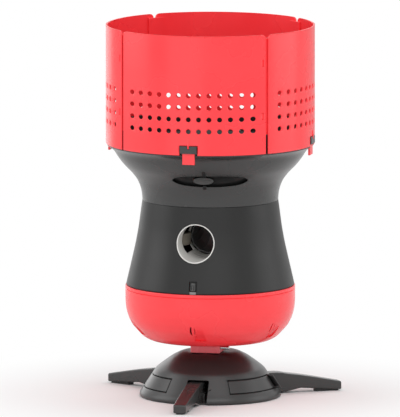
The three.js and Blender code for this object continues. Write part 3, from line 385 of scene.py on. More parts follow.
block_low, block_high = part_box("tilt_block")
block_outline = rounded(box_outline(block_low.x, block_low.y, block_high.x, block_high.y), 2.5 * mm)
block = slab("tilt_lug", block_outline, block_low.z, block_high.z, 0.8 * mm)
tilt_axis, stop_place = (0, 69 * mm), (-29 * mm, 71 * mm)
joined(block, "DIFFERENCE",
       box_cutter((-8.4, -11, 60), (8.4, 12, 82)), box_cutter((-41, -2, 60), (41, 12, 67.4)),
       slab("cutter", circle(2.9 * mm, tilt_axis), -41 * mm, 41 * mm, 0.1 * mm, "x"),
       slab("cutter", circle(2.6 * mm, stop_place), 10.2 * mm, 41 * mm, 0.1 * mm, "x"))
# The lug's pale pink is painted reflection: the coral red lightened by the white sheen seen on its face.
sheen_pinked_red = plastic("sheen_pinked_red", (0.80, 0.115, 0.14), 0.3, grain=0.04)
dress(finished(block, 0.3 * mm), sheen_pinked_red, "head", "red_block", "tilt_block")
stop_low, stop_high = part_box("tilt_stop_pin")
stop_pin = pin("stop_pin", 2.3 * mm, stop_low.x, stop_high.x, stop_place, 0.5 * mm)
dress(finished(stop_pin), bright_steel, "head", "bright_steel", "tilt_stop_pin")
pin_low, pin_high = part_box("tilt_pin")
tilt_pin = pin("tilt_axle", 2.5 * mm, pin_low.x, pin_high.x, tilt_axis, 0.4 * mm)
dress(finished(tilt_pin), bright_steel, "turntable", "bright_steel", "tilt_pin")
nut_low, nut_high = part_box("tilt_nut")
nut = slab("tilt_axle_nut", rounded(circle(5 * mm, tilt_axis, 6), 0.6 * mm, 2), nut_low.x, nut_high.x,
           0.5 * mm, "x")
joined(nut, "DIFFERENCE", slab("cutter", circle(2.8 * mm, tilt_axis), 15 * mm, 30 * mm, 0.1 * mm, "x"))
dress(finished(nut, 0.15 * mm), bright_steel, "turntable", "bright_steel", "tilt_nut")

# Bowl: the head's lower half, a glossy coral red ABS pan with a fine V groove just under its rim. Five vents
# stand round its side, each two narrow slits beside a wedge sunk in the wall. The wires come in through a
# hole in its floor.
bowl_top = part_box("bowl")[1].z
bowl_line = np.array([[0, 79], [81, 79], [84.5, 80], [92, 84], [97, 89], [107, 100], [112.3, 111],
                      [115.3, 122], [116.3, 133], [116.3, 148]]) * mm
bowl_curve = faired(bowl_line, reach=6 * mm)
bowl_rim = np.array([[116.3, -5.4], [115.5, -4.85], [116.3, -4.3], [116.3, -0.8], [116.05, -0.2],
                     [115.5, 0], [114.0, 0], [113.5, -0.2], [113.3, -0.7]]) * mm + [0, bowl_top]
bowl_inside = sunk(bowl_curve, 3 * mm)
bowl_inside[0] = [0, 82 * mm]
bowl = swept("coral_bowl", np.vstack([bowl_curve, bowl_rim, bowl_inside[::-1]]), sides=180)


def radius_at(curve, height):
    """The radius of a rising curve of (radius, height) at a height."""
    return np.interp(height, curve[:, 1], curve[:, 0])


def leaf_cutter(azimuth, low, high, width, bow):
    """A narrow leaf that stands through a round wall: at height share s its half width is
    width sqrt(s (1 - s)) and its middle is swung sideways by bow sin(pi s)."""
    share = np.linspace(0, 1, 11)
    half = width * np.sqrt(share * (1 - share)) + 0.1 * mm
    sway, height = bow * np.sin(np.pi * share), low + share * (high - low)
    outline = np.vstack([np.column_stack([sway + half, height]),
                         np.column_stack([sway - half, height])[::-1]])
    return swung(slab("cutter", outline, -130 * mm, -80 * mm, 0.01 * mm, "y"), azimuth)


def wedge_cutter(azimuth, low, high, half_low, half_high, depth):
    """A wedge sunk in the bowl's wall: at height share s its half width runs from the lower to the upper
    value, and it goes depth (1 - s) below the face."""
    share = np.linspace(0, 1, 8)
    height, half = low + share * (high - low), half_low + share * (half_high - half_low)
    reach = radius_at(bowl_curve, height) - depth * (1 - share) - 0.25 * mm
    corners = [[-half, -130 * mm + 0 * half], [half, -130 * mm + 0 * half], [half, -reach], [-half, -reach]]
    sections = np.stack([np.column_stack([*corner, height]) for corner in corners], 1)
    return swung(loft("cutter", sections), azimuth)


cutters = [slab("cutter", circle(8 * mm, (0, 34 * mm)), 70 * mm, 90 * mm, 0.1 * mm)]
for azimuth in (-127.5, -64.5, -1.5, 62.5, 125.5):
    cutters.append(leaf_cutter(azimuth, 97 * mm, 110.5 * mm, 2.4 * mm, -1.3 * mm))
    cutters.append(leaf_cutter(azimuth + 2.1, 99 * mm, 108.5 * mm, 0.9 * mm, 0.8 * mm))
    cutters.append(wedge_cutter(azimuth + 6.1, 88.8 * mm, 105.2 * mm, 7.9 * mm, 4.3 * mm, 2.3 * mm))
joined(bowl, "DIFFERENCE", *cutters)
coral_red = plastic("coral_red", (0.97, 0.040, 0.050), 0.26, grain=0.02, drift=0.02, shine=0.6)
dress(finished(bowl, sharp=36), coral_red, "head", "red_shell", "bowl")

# Lower shell: the tapering charcoal ABS drum that carries the works. Its front is bored for the balls, a key
# shaped window at its foot shows the latch, a window at the rear takes the service plate, and the funnel is
# screwed on its inner flange.
shell_low, shell_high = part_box("lower_shell")[0].z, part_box("lower_shell")[1].z
shell_line = np.array([[115, 1.4], [113.9, 6.5], [108.5, 29.6], [102, 58.0], [98, 79.9], [95.2, 101.6],
                       [93.15, 116.4]]) * mm + [0, shell_low]
shell_curve = faired(shell_line, reach=12 * mm)
shell_inside = sunk(shell_curve, 2.5 * mm)
shell_inside = shell_inside[shell_inside[:, 1] < shell_high - 10.7 * mm]
shell_foot = np.array([[113.1, 0], [114.3, 0], [114.9, 0.5]]) * mm + [0, shell_low]
shell_head = np.array([[92.9, -0.2], [92.4, 0], [82.3, 0], [82, -0.3], [82, -3.7], [82.4, -4.1],
                       [90.9, -9.1]]) * mm + [0, shell_high]
shell = swept("drum_shell", np.vstack([shell_foot, shell_curve, shell_head, shell_inside[::-1]]), sides=180)
outlet_low, outlet_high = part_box("outlet_liner")[0].z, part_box("outlet_liner")[1].z
outlet_height, outlet_radius = (outlet_low + outlet_high) / 2, 27 * mm
window_outline = rounded(box_outline(-5.4, 4, 5.4, 17.5) * mm, 0.8 * mm) + [0, shell_low]
joined(shell, "DIFFERENCE",
       slab("cutter", circle(outlet_radius, (0, outlet_height), 96), -120 * mm, -50 * mm, 0.1 * mm, "y"),
       slab("cutter", window_outline, -120 * mm, -90 * mm, 0.1 * mm, "y"),
       box_cutter((-4.8, -120, 150), (4.8, -90, 160)), box_cutter((-28, 90, 163), (28, 120, 191)),
       *[swung(slab("cutter", circle(1.8 * mm, (0, -86 * mm), 16), shell_high - 12 * mm, shell_high + 4 * mm,
                    0.1 * mm), azimuth) for azimuth in (60, 180, 300)])
drum_charcoal = plastic("drum_charcoal", (0.015, 0.015, 0.0148), 0.38, grain=0.04, drift=0.03, shine=0.3,
                        cell=0.8 * mm)
dress(finished(shell, 0.35 * mm), drum_charcoal, "head", "black_shell", "lower_shell")

# Outlet liner: an ivory tube that ends just inside the shell's face and is open at both sides, where the
# throwing wheels reach in. Round its bore a small lip guides the ball.
around = np.linspace(0, 2 * np.pi, 120, endpoint=False)[:, None]
lip = np.array([[25.0, 1.0], [25.3, 0.4], [25.8, 0.1], [26.3, 0.1], [26.7, 0.6]]) * mm
tube_radius = np.concatenate([lip[:, 0], [26.7 * mm, 26.2 * mm, 25.2 * mm, 25 * mm]])[None, :]
tube_height = outlet_height + tube_radius * np.cos(around)
across = tube_radius * np.sin(around)
face = -np.sqrt((radius_at(shell_curve, tube_height) - 0.8 * mm) ** 2 - across ** 2)
reach = face.copy()
reach[:, :5] += lip[:, 1]
reach[:, 5:] = np.array([-14.4, -14, -14, -14.4]) * mm
liner = piece("ivory_liner_tube", np.stack([across, reach, tube_height], -1), grid_faces(120, 9, True, True))
wheel_places = {"left": -43.5 * mm, "right": 43.5 * mm}
wheel_reach = -45 * mm
joined(liner, "DIFFERENCE",
       *[box_cutter((side - 11, -66.5, 204.8), (side + 11, -22, 243)) for side in (-20.5, 20.5)])
ivory = plastic("ivory", (0.80, 0.79, 0.76), 0.3, grain=0.03, drift=0.02)
dress(finished(liner, 0.25 * mm, 40), ivory, "head", "ivory_liner", "outlet_liner")

# Throwing wheels: a polyurethane tyre, finely ribbed round its tread, its beige painted darker with the shade
# inside the drum, on an off-white nylon hub with six round windows and a steel shaft, over a plated motor can
# under the motor deck.
# The tyre's colour is darker than its lit beige: painted shade for the drum it turns in.
shade_dulled_tyre = plastic("shade_dulled_tyre", (0.18, 0.163, 0.133), 0.8, grain=0.3, drift=0.08, cell=0.6 * mm)
nylon = plastic("nylon", (0.66, 0.63, 0.56), 0.45, grain=0.05)
tread = np.linspace(216.2, 229.8, 33)
tyre_rim = np.column_stack([25.85 + 0.15 * np.cos(2 * np.pi * (tread - 216.2) / 1.7), tread])
tyre_section = np.vstack([[[18, 215], [25, 215], [25.7, 215.4]], tyre_rim,
                          [[25.7, 230.6], [25, 231], [18, 231]]]) * mm
hub_section = np.array([[0, 216], [4.6, 216], [4.8, 218.5], [5.4, 219.4], [14.4, 219.4], [15.1, 218.8],
                        [15.3, 215.4], [15.8, 215], [17.3, 215], [17.7, 215.4], [17.7, 230.6], [17.3, 231],
                        [15.8, 231], [15.3, 230.6], [15.1, 226.8], [14.4, 226.2], [5.4, 226.2], [4.8, 227],
                        [4.6, 231], [0, 231]]) * mm
hub_window, hub_window_circle = 3.2 * mm, 9.9 * mm
shaft_section = np.array([[0, 183.3], [2.2, 183.3], [2.5, 183.7], [2.5, 217], [0, 217]]) * mm
can_section = np.array([[0, 156.7], [14.8, 156.7], [15.6, 157.1], [16, 158], [16, 191.2], [15.5, 192.2],
                        [14.6, 192.7], [7, 192.7], [6.6, 192.4], [3.2, 192.4], [2.9, 192], [2.9, 183],
                        [0, 183]]) * mm


def moved(made, x, y, z=0):
    """Shifts a piece's mesh."""
    points = np.array([vertex.co for vertex in made.data.vertices]) + [x, y, z]
    made.data.vertices.foreach_set("co", points.ravel())
    made.data.update()
    return made


for side, place in wheel_places.items():
    tyre = moved(swept(f"{side}_tread", tyre_section, sides=96), place, wheel_reach)
    dress(finished(tyre, sharp=50), shade_dulled_tyre, f"{side}_wheel", "tyre_rubber", f"{side}_wheel_tyre")
    hub = swept(f"{side}_hub_disc", hub_section, sides=72)
    window_middles = [(hub_window_circle * math.sin(turn), hub_window_circle * math.cos(turn))
                      for turn in np.radians(range(0, 360, 60))]
    joined(hub, "DIFFERENCE", *[slab("cutter", circle(hub_window, middle, 24), 210 * mm, 235 * mm, 0.1 * mm)
                                for middle in window_middles])
    joined(hub, "UNION", swept("shaft", shaft_section, sides=24))
    dress(finished(moved(hub, place, wheel_reach), 0.15 * mm), nylon, f"{side}_wheel", "hub_plastic",
          f"{side}_wheel_hub")
    can = moved(swept(f"{side}_motor_can", can_section, sides=64), place, wheel_reach)
    dress(finished(can), motor_steel, "head", "motor_steel", f"{side}_wheel_motor")
dress_solids(grey_plastic, "motor_deck")

# Funnel: the flared upper body, one charcoal ABS moulding. Its foot stands on the lower shell, a ledge inside
# holds the feed deck down, and its rim carries the hopper. A lens-shaped window in its front bares the
# controls.
waist_height, rim_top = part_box("funnel")[0].z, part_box("funnel")[1].z
flare_line = np.array([[93, 0], [93.8, 11.2], [95.2, 16.6], [99.3, 27.3], [107.5, 38.1], [118.5, 48.8],
                       [126.7, 59.5], [133, 70.3], [139.5, 74.4]]) * mm + [0, waist_height]
flare_curve = faired(flare_line, reach=9 * mm)
flare_inside = sunk(flare_curve, 3 * mm)
flare_inside = flare_inside[np.abs(flare_inside[:, 1] - waist_height - 40.4 * mm) < 32.9 * mm]
funnel_foot = np.array([[90, 0.3], [90.3, 0], [92.3, 0], [92.8, 0.3]]) * mm + [0, waist_height]
funnel_rim = np.array([[141.3, -1.5], [141.8, -0.9], [141.8, -0.3], [141.4, 0], [136.1, 0], [135.7, -0.3],
                       [135.7, -1]]) * mm + [0, rim_top]
funnel_ledge = np.array([[90, 6.9], [89.5, 6.3], [82.4, 6.3], [82, 5.9], [82, 3.7], [82.4, 3.3],
                         [90, 3.3]]) * mm + [0, waist_height]
funnel_section = np.vstack([funnel_foot, flare_curve, funnel_rim, flare_inside[::-1], funnel_ledge])
funnel = swept("flared_funnel", funnel_section, sides=180)
window_azimuth, window_top = 12, waist_height + 45.7 * mm
window_shape = np.array([[-53.2, -7.5], [-46, -12.2], [-37, -14.7], [-15, -16.6], [15, -16.6], [37, -14.7],
                         [46, -12.2], [53.2, -7.5], [46, -3.2], [37, -1.5], [15, 0], [-15, 0], [-37, -1.5],
                         [-46, -3.2]]) * mm
window_outline = rounded(window_shape, 8 * mm, 3) + [0, window_top]
window_cutter = swung(slab("cutter", window_outline, -145 * mm, -65 * mm, 0.01 * mm, "y"), window_azimuth)
screw_azimuths = (60, 180, 300)
notch_cutters = [swung(slab("cutter", box_outline(-8.9, -146, 8.9, -138) * mm, rim_top - 8 * mm,
                            rim_top + 4 * mm, 0.01 * mm), azimuth) for azimuth in (0, 90, 180, 270)]
hole_cutters = [swung(slab("cutter", circle(1.8 * mm, (0, -86 * mm), 16), waist_height - mm,
                           waist_height + 10 * mm, 0.01 * mm), azimuth) for azimuth in screw_azimuths]
joined(funnel, "DIFFERENCE", window_cutter, *notch_cutters, *hole_cutters)
dress(finished(funnel, 0.4 * mm), satin_charcoal, "head", "black_shell", "funnel")

# Control panel: a smoked black polycarbonate plate snapped in behind the window, with a tab that grips the
# flare above and below it, and a well round the oval start button, which is a satin grey ABS key.


def plate(name, flat, faces, front, back, edge):
    """A plate from a flat chart of points and faces: front and back set a point on its two sides. Where the
    chart ends, each side is pulled in by the edge and a chamfer joins it to the rim between them."""
    faces = np.asarray(faces)
    starts, ends = faces.ravel(), np.roll(faces, -1, 1).ravel()
    inner = np.isin(ends.astype(np.int64) * len(flat) + starts, starts.astype(np.int64) * len(flat) + ends)
    starts, ends = starts[~inner], ends[~inner]
    side = flat[ends] - flat[starts]
    inward = np.stack([-side[:, 1], side[:, 0]], -1) / np.linalg.norm(side, axis=1)[:, None]
    total, first = np.zeros_like(flat), np.zeros_like(flat)
    np.add.at(total, starts, inward)
    np.add.at(total, ends, inward)
    first[starts] = inward
    pull = edge * total[starts] / np.maximum(0.3, np.sum(total[starts] * first[starts], 1))[:, None]
    pulled = flat.copy()
    pulled[starts] += pull
    face, rear = front(flat[starts]), back(flat[starts])
    through = (rear - face) / np.linalg.norm(rear - face, axis=1)[:, None]
    points = np.vstack([front(pulled), back(pulled), face + edge * through, rear - edge * through])
    rim = np.full(len(flat), -1)
    rim[starts] = np.arange(len(starts))
    count, near, far = len(flat), 2 * len(flat), 2 * len(flat) + len(starts)
    bands = [(starts, ends, near + rim[ends], near + rim[starts]),
             (near + rim[starts], near + rim[ends], far + rim[ends], far + rim[starts]),
             (far + rim[starts], far + rim[ends], count + ends, count + starts)]
    quads = np.vstack([faces, faces[:, ::-1] + count, *[np.stack(band, -1)[:, ::-1] for band in bands]])
    made = piece(name, points, quads)
    work = bmesh.new()
    work.from_mesh(made.data)
    bmesh.ops.delete(work, geom=[vertex for vertex in work.verts if not vertex.link_faces], context="VERTS")
    work.to_mesh(made.data)
    work.free()
    return made


def on_curve(curve, depth):
    """Sets a flat (x, z) on the turned surface of a curve, a depth inside it: (x, -sqrt(r(z)^2 - x^2), z)."""
    def place(flat):
        radius = radius_at(curve, flat[:, 1]) - depth
        return np.stack([flat[:, 0], -np.sqrt(radius ** 2 - flat[:, 0] ** 2), flat[:, 1]], -1)
    return place


def nested(outline, hole, rings):
    """A chart of quads between an outline and a hole with as many points, its rings at even shares."""
    share = np.linspace(0, 1, rings)[:, None, None]
    chart = outline[None] * (1 - share) + hole[None] * share
    return chart.reshape(-1, 2), grid_faces(rings, len(outline), False, True)


key_azimuth = 7
key_low, key_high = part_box("start_button")
key_middle = (key_low.z + key_high.z) / 2
well_middle = np.array([104 * mm * math.sin(math.radians(key_azimuth - window_azimuth)), key_middle])
lap_outline = trimmed(window_outline, -2 * mm)
turn = np.arctan2(lap_outline[:, 1] - well_middle[1], lap_outline[:, 0] - well_middle[0])
well = well_middle + np.stack([14.3 * mm * np.cos(turn), 5.9 * mm * np.sin(turn)], -1)
chart, chart_faces = nested(lap_outline, well, 14)
backing = swung(plate("control_backing", chart, chart_faces, on_curve(flare_curve, 4.6 * mm),
                      on_curve(flare_curve, 9.6 * mm), 0.3 * mm), window_azimuth)


def tab(corners):
    """A grip that comes out through the window and lies on the flare: a side outline of (inside, z), where
    inside counts from the flare's own face at that height and z from the top of the window."""
    corners = np.array(corners) * mm + [0, window_top]
    reach = radius_at(flare_curve, corners[:, 1]) - corners[:, 0]
    return swung(slab("tab", rounded(np.column_stack([-reach, corners[:, 1]]), 0.6 * mm, 2),
                      -2.3 * mm, 2.3 * mm, 0.3 * mm, "x"), key_azimuth + 0.8)


upper = tab([[7.6, -2.0], [-0.9, -2.1], [-1.9, 0.4], [-1.4, 5.6], [-0.2, 6.2], [-0.2, 2.6], [0.5, -0.3],
             [7.0, -0.4]])
lower = tab([[5.6, -15.0], [-0.9, -14.6], [-1.5, -17.6], [-0.9, -20.4], [-0.1, -20.2], [0.4, -16.4],
             [5.6, -16.4]])
work = bmesh.new()
for part in (backing, upper, lower):
    work.from_mesh(part.data)
work.to_mesh(backing.data)
work.free()
bpy.data.objects.remove(upper)
bpy.data.objects.remove(lower)
smoked_black = plastic("smoked_black", (0.009, 0.009, 0.009), 0.28, grain=0.02, shine=0.25)
dress(finished(backing), smoked_black, "head", "dark_insert", "control_panel")

turn = np.linspace(0, 2 * np.pi, 64, endpoint=False)
shares = np.array([0, 0.35, 0.6, 0.8, 0.9, 0.96, 1, 1])[:, None]
dish = np.array([0.9, 0.85, 0.7, 0.4, 0.2, 0.1, 0.45, 1.1])[:, None] * mm
oval_x, oval_z = 13.8 * mm * shares * np.cos(turn), key_middle + 5.5 * mm * shares * np.sin(turn)
oval_y = dish - np.sqrt((radius_at(flare_curve, oval_z) - 1.0 * mm) ** 2 - oval_x ** 2)
oval = np.stack([oval_x, oval_y, oval_z], -1)
rear = np.stack([oval_x[-1], np.full(len(turn), -90.6 * mm), oval_z[-1]], -1)
back = len(shares) * len(turn)
key = piece("start_key", np.vstack([oval.reshape(-1, 3), rear]),
            [*grid_faces(len(shares) + 1, len(turn), False, True).tolist(), range(back, back + len(turn))])
grey_key = plastic("grey_key", (0.052, 0.052, 0.051), 0.42, grain=0.05)
dress(finished(swung(key, key_azimuth), sharp=50), grey_key, "button", "grey_button", "start_button")

# Hopper ring: a charcoal ABS band that stands on the funnel's rim inside the panels. At the middle of each
# panel it has a loop, through which the panel's tongue drops; a V in its top takes the panel's rib.
ring_foot, ring_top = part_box("hopper_ring")[0].z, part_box("hopper_ring")[1].z
ring_section = rounded([[137.9 * mm, ring_foot], [137.9 * mm, ring_top], [135.7 * mm, ring_top],
                        [135.7 * mm, ring_foot]], 0.6 * mm, 3)
ring = swept("loop_ring", ring_section, sides=180)
loop_low, loop_high = ring_foot + 2.7 * mm, ring_foot + 13 * mm
vee = np.array([[-1.9, 1], [1.9, 1], [1.3, -4.4], [-1.3, -4.4]]) * mm + [0, loop_high]
loops = []
for azimuth in (0, 90, 180, 270):
    outline = rounded(box_outline(-12, -144, 12, -136.8) * mm, 0.9 * mm, 3)
    loop = slab("loop", outline, loop_low, loop_high, 0.5 * mm)
    throat = slab("cutter", box_outline(-8.9, -141.8, 8.9, -137.9) * mm, loop_low - 3 * mm,
                  loop_high + 3 * mm, 0.01 * mm)
    joined(loop, "DIFFERENCE", throat, slab("cutter", vee, -150 * mm, -141.5 * mm, 0.01 * mm, "y"))
    loops.append(swung(loop, azimuth))
joined(ring, "UNION", *loops)
dress(finished(ring, 0.25 * mm), satin_charcoal, "head", "black_shell", "hopper_ring")

# Hopper: four coral red ABS quarter panels with four rows of round holes, moulded straight through. A tongue
# under each middle drops into the ring's loop, and a lip with two hooks behind each left edge catches in two
# slots of the next panel. They lift off straight up.
hopper_radius, hopper_inside = 143 * mm, 140.5 * mm
panel_low, panel_top = 349.7 * mm, 513 * mm
hole_radius, hole_pitch, row_pitch, cell_steps = 3.3 * mm, 14 * mm, 16.35 * mm, 5
hole_columns, hole_rows, top_row = 13, 4, 431.7 * mm
seam_half = hopper_radius * math.sin(math.radians(45) - 1.7 * mm / hopper_radius)
field_half = hole_columns * hole_pitch / 2
field_low = top_row - (hole_rows - 0.5) * row_pitch
corner_radius = 5 * mm
notch_half_steps, notch_top = 4.5, 363.0 * mm

columns = np.linspace(-field_half, field_half, hole_columns * cell_steps + 1)
side_shares = np.array([0.4, 0.68, 1])
field_rows = field_low + row_pitch / cell_steps * np.arange(hole_rows * cell_steps + 1)
corner_turn = np.linspace(0, np.pi / 2, 6)
corner_rows = panel_top + corner_radius * (np.sin(corner_turn) - 1)
rows = np.concatenate([[panel_low, 356.4 * mm, notch_top, 369.1 * mm], field_rows,
                       np.array([452, 470, 479, 494]) * mm, corner_rows])
edge_at = np.interp(rows, corner_rows, seam_half + corner_radius * (np.cos(corner_turn) - 1))
strip = field_half + (edge_at - field_half)[:, None] * side_shares
panel_x = np.hstack([-strip[:, ::-1], np.broadcast_to(columns, (len(rows), len(columns))), strip])
panel_z = np.broadcast_to(rows[:, None], panel_x.shape).copy()
slot_rows = {"lower": (4 + 7, 4 + 10, 397, 406), "upper": (26, 27, 470, 479)}
first, last, low, high = slot_rows["lower"]
beside = np.interp(rows, [rows[first - 2], rows[first], rows[last], rows[last + 2]],
                   [rows[first - 2], low * mm, high * mm, rows[last + 2]])
beside = np.where((rows > rows[first - 2]) & (rows < rows[last + 2]), beside, rows)
panel_z[:, -len(side_shares):] = beside[:, None]
flat = np.stack([panel_x, panel_z], -1).reshape(-1, 2)
width = panel_x.shape[1]

kept = np.ones((len(rows) - 1, width - 1), bool)
middle = (width - 1) / 2
kept[:2, int(middle - notch_half_steps):int(middle + notch_half_steps)] = False
cell_row = 4 + cell_steps * np.arange(hole_rows)[:, None]
cell_column = len(side_shares) + cell_steps * np.arange(hole_columns)[None, :]
kept[4:4 + hole_rows * cell_steps, len(side_shares):-len(side_shares)] = False
for first, last, *_ in slot_rows.values():
    kept[first:last, -2] = False
quads = grid_faces(len(rows), width, False, False)[kept.ravel()]
step = np.arange(cell_steps)
up, across = [np.concatenate(parts) for parts in (
    (0 * step, step, 0 * step + cell_steps, cell_steps - step),
    (step, 0 * step + cell_steps, cell_steps - step, 0 * step))]
around = 4 * cell_steps
corner = ((cell_row + up[:, None, None]) * width + cell_column + across[:, None, None]).reshape(around, -1).T
hole_turn = -0.75 * np.pi + np.arange(around) / around * 2 * np.pi
holes_x, holes_z = np.broadcast_arrays(hole_pitch * (np.arange(hole_columns) - 6)[None, :],
                                       top_row - row_pitch * (hole_rows - 1 - np.arange(hole_rows))[:, None])
hole_points = np.stack([holes_x.ravel()[:, None] + hole_radius * np.cos(hole_turn),
                        holes_z.ravel()[:, None] + hole_radius * np.sin(hole_turn)], -1)
ring_index = len(flat) + np.arange(hole_columns * hole_rows * around).reshape(-1, around)
cells = np.stack([corner, np.roll(corner, -1, 1), np.roll(ring_index, -1, 1), ring_index], -1).reshape(-1, 4)
flat = np.vstack([flat, hole_points.reshape(-1, 2)])


def on_drum(radius):
    """Sets a flat (x, z) on an upright drum: (x, -sqrt(radius^2 - x^2), z). Beside the holes x is drawn in,
    so that the side edges point at the axis."""
    draw = seam_half * (1 - radius / hopper_radius) / (seam_half - field_half)

    def place(flat):
        x = flat[:, 0] - np.sign(flat[:, 0]) * draw * np.maximum(0, np.abs(flat[:, 0]) - field_half)
        return np.stack([x, -np.sqrt(radius ** 2 - x ** 2), flat[:, 1]], -1)
    return place


tongue_side = rounded(np.array([[-141.4, 337], [-141.4, 363.4], [-142.2, 370.2], [-140.2, 370.2],
                                [-138.4, 363.4], [-138.4, 337]]) * mm, 0.6 * mm, 2)
rib_side = np.array([[-142.4, 372.5], [-143.4, 371.5], [-144.5, 361], [-144.5, 359.2], [-141, 359.2]]) * mm
lip_section = rounded(np.array([[140.1, 375.9], [140.1, 508], [137.9, 508], [137.9, 375.9]]) * mm,
                      0.8 * mm, 2)
for azimuth, name in ((0, "front"), (90, "right"), (180, "rear"), (270, "left")):
    panel = plate(f"{name}_quarter", flat, np.vstack([quads, cells]), on_drum(hopper_radius),
                  on_drum(hopper_inside), 0.8 * mm)
    tongue = slab("tongue", tongue_side, -8.5 * mm, 8.5 * mm, 0.2 * mm, "x")
    rib = slab("rib", rib_side, -0.9 * mm, 0.9 * mm, 0.3 * mm, "x")
    lip = swept("lip", lip_section, -45 - 4.8, -45 + 4.8, 12)
    root = swung(box_cutter((-1.5, -141.5, 376.4), (3.5, -139, 507.5)), -45 + 2.6)
    hooks = [swung(box_cutter((-1.5, -141.4, middle - 4.2), (1.5, -139, middle + 4.2)), -45 - 2.6)
             for middle in (474.5, 401.5)]
    joined(panel, "UNION", tongue, rib, lip, root, *hooks)
    dress(swung(finished(panel), azimuth), coral_red, "hopper", "red_shell", f"{name}_panel")

# Seam latch: a sprung ABS key in the lower shell's window, grey on its raised middle, which has two finger
# slots, and smoked black on its sunk rim, partly its own dark plastic and partly painted shade in the recess.
# Under it a light grey acetal hook stands on the bowl's rim.
latch_low, latch_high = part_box("seam_latch")
latch_middle, latch_half = (latch_low.z + latch_high.z) / 2, (latch_high.z - latch_low.z) / 2
latch_outline = rounded(box_outline(-5.1, -1, 5.1, 1) * [mm, latch_half] + [0, latch_middle], 0.7 * mm, 3)


def curved_slab(name, outline, curve, depth, back):
    """An upright outline raised from a flat back to a face that lies a depth inside a turned surface, with
    a ring just inside its rim that keeps the edge crisp."""
    inner, middle = trimmed(outline, 0.4 * mm), outline.mean(0)
    rings = [outline] + [middle + (inner - middle) * share for share in (1, 0.5, 0.02)]
    face = [on_curve(curve, depth + drop)(ring) for ring, drop in zip(rings, (0.4 * mm, 0, 0, 0))]
    rear = np.insert(outline, 1, back, axis=1)
    return loft(name, [rear, *face])


latch = curved_slab("latch_key", latch_outline, shell_curve, 1.5 * mm, -107.2 * mm)
raised_shape = np.array([[-3.1, 0.4], [3.1, 0.4], [3.1, 10.2], [1.9, 11.4], [-1.9, 11.4], [-3.1, 10.2]]) * mm
raised_outline = rounded(raised_shape + [0, latch_low.z], 0.8 * mm, 3)
raised = curved_slab("raised", raised_outline, shell_curve, 0.25 * mm, -109 * mm)
slots = [slab("cutter", rounded(box_outline(x - 0.45, 1.6, x + 0.45, 8.8) * mm + [0, latch_low.z],
                                0.3 * mm, 2), -120 * mm, -110.2 * mm, 0.05 * mm, "y") for x in (-1.4, 1.4)]
joined(latch, "UNION", raised)
joined(latch, "DIFFERENCE", *slots)
dress(finished(latch), smoked_black, "latch", "black_shell", "seam_latch")
# Faces sunk more than 0.9 mm below the shell's face keep the smoked black, partly the key's dark rim and
# partly painted shade in the recess; the raised faces take the grey.
latch.data.materials.append(grey_key)
x, y, z = np.array([face.center for face in latch.data.polygons]).T
raised_faces = np.hypot(x, y) > radius_at(shell_curve, z) - 0.9 * mm
latch.data.polygons.foreach_set("material_index", raised_faces.astype(np.int32))
hook_low, hook_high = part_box("latch_hook")
hook_outline = rounded(box_outline(hook_low.x, hook_low.y, hook_high.x, hook_high.y), 0.7 * mm, 3)
hook = slab("latch_tongue", hook_outline, hook_low.z, hook_high.z, 0.5 * mm)
light_grey = plastic("light_grey", (0.21, 0.21, 0.205), 0.4, grain=0.05)
dress(finished(hook), light_grey, "head", "latch_grey", "latch_hook")

# Service plate at the rear: a charcoal ABS plate that closes the shell's rear window, with the rocker switch
# in its housing and the supply inlet with its plated pin. They keep the frame's own shapes.
dress_solids(satin_charcoal, "service_plate")
dress_solids(smoked_black, "switch_housing", "supply_inlet")
dress_solids(pad_rubber, "switch_rocker")
dress_solids(bright_steel, "inlet_pin")

# Feed: what is seen down the hopper. An acetal disc with five open pockets carries its load round to the
# hole over the chute, and a turned bronze agitator on its middle keeps it from bridging.
disc_low, disc_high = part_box("feed_disc")
pocket_radius, pocket_circle, disc_radius = 22.5 * mm, 55 * mm, 80 * mm
deck_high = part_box("feed_deck")[1].z
disc = slab("pocket_disc", circle(disc_radius, sides=160), deck_high + 0.3 * mm, disc_high.z, 0.8 * mm)
half_round = np.linspace(0, np.pi, 25)
pocket_outline = np.vstack([np.column_stack([pocket_radius * np.cos(half_round),
                                             pocket_radius * np.sin(half_round) - pocket_circle]),
                            [[-pocket_radius, -disc_radius - 2 * mm],
                             [pocket_radius, -disc_radius - 2 * mm]]])
pockets = [swung(slab("cutter", pocket_outline, deck_high - mm, disc_high.z + mm, 0.01 * mm), azimuth)
           for azimuth in range(180, 540, 72)]
joined(disc, "DIFFERENCE", *pockets)
shaft = slab("shaft", circle(4 * mm, sides=24), disc_low.z, deck_high + mm, 0.3 * mm)
joined(disc, "UNION", shaft)
dress(finished(disc, 0.5 * mm), natural_acetal, "feed", "gear_plastic", "feed_disc")
cone_low, cone_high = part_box("agitator")
cone_section = np.array([[0, 0], [12.4, 0], [13, 0.6], [5.3, -1], [4.4, 0], [0, 0]]) * mm
cone_section[:, 1] += np.array([1, 1, 1, 0, 0, 0]) * cone_low.z + np.array([0, 0, 0, 1, 1, 1]) * cone_high.z
cone = swept("agitator_cone", cone_section, sides=64)
fin_outline = rounded(box_outline(-30, -2.5, 30, 2.5) * mm, 2 * mm)
joined(cone, "UNION", slab("fin", fin_outline, cone_low.z, cone_low.z + 9 * mm, 0.8 * mm))
dress(finished(cone, sharp=40), sintered_bronze, "feed", "bronze", "agitator")

# Feed deck, chute and motor, and the circuit board on its four pillars: moulded and bought-in parts that
# the shells hide. They keep the frame's own shapes.
board_green = plastic("board_green", (0.02, 0.16, 0.06), 0.38, grain=0.15, coat=0.3, cell=2 * mm)
dress_solids(grey_plastic, "feed_deck", "feed_chute")
dress_solids(motor_steel, "feed_motor")
dress_solids(bright_steel, "deck_screw_1", "deck_screw_2", "deck_screw_3")
dress_solids(bright_steel, "board_standoff_1", "board_standoff_2", "board_standoff_3", "board_standoff_4")
dress_solids(board_green, "circuit_board")
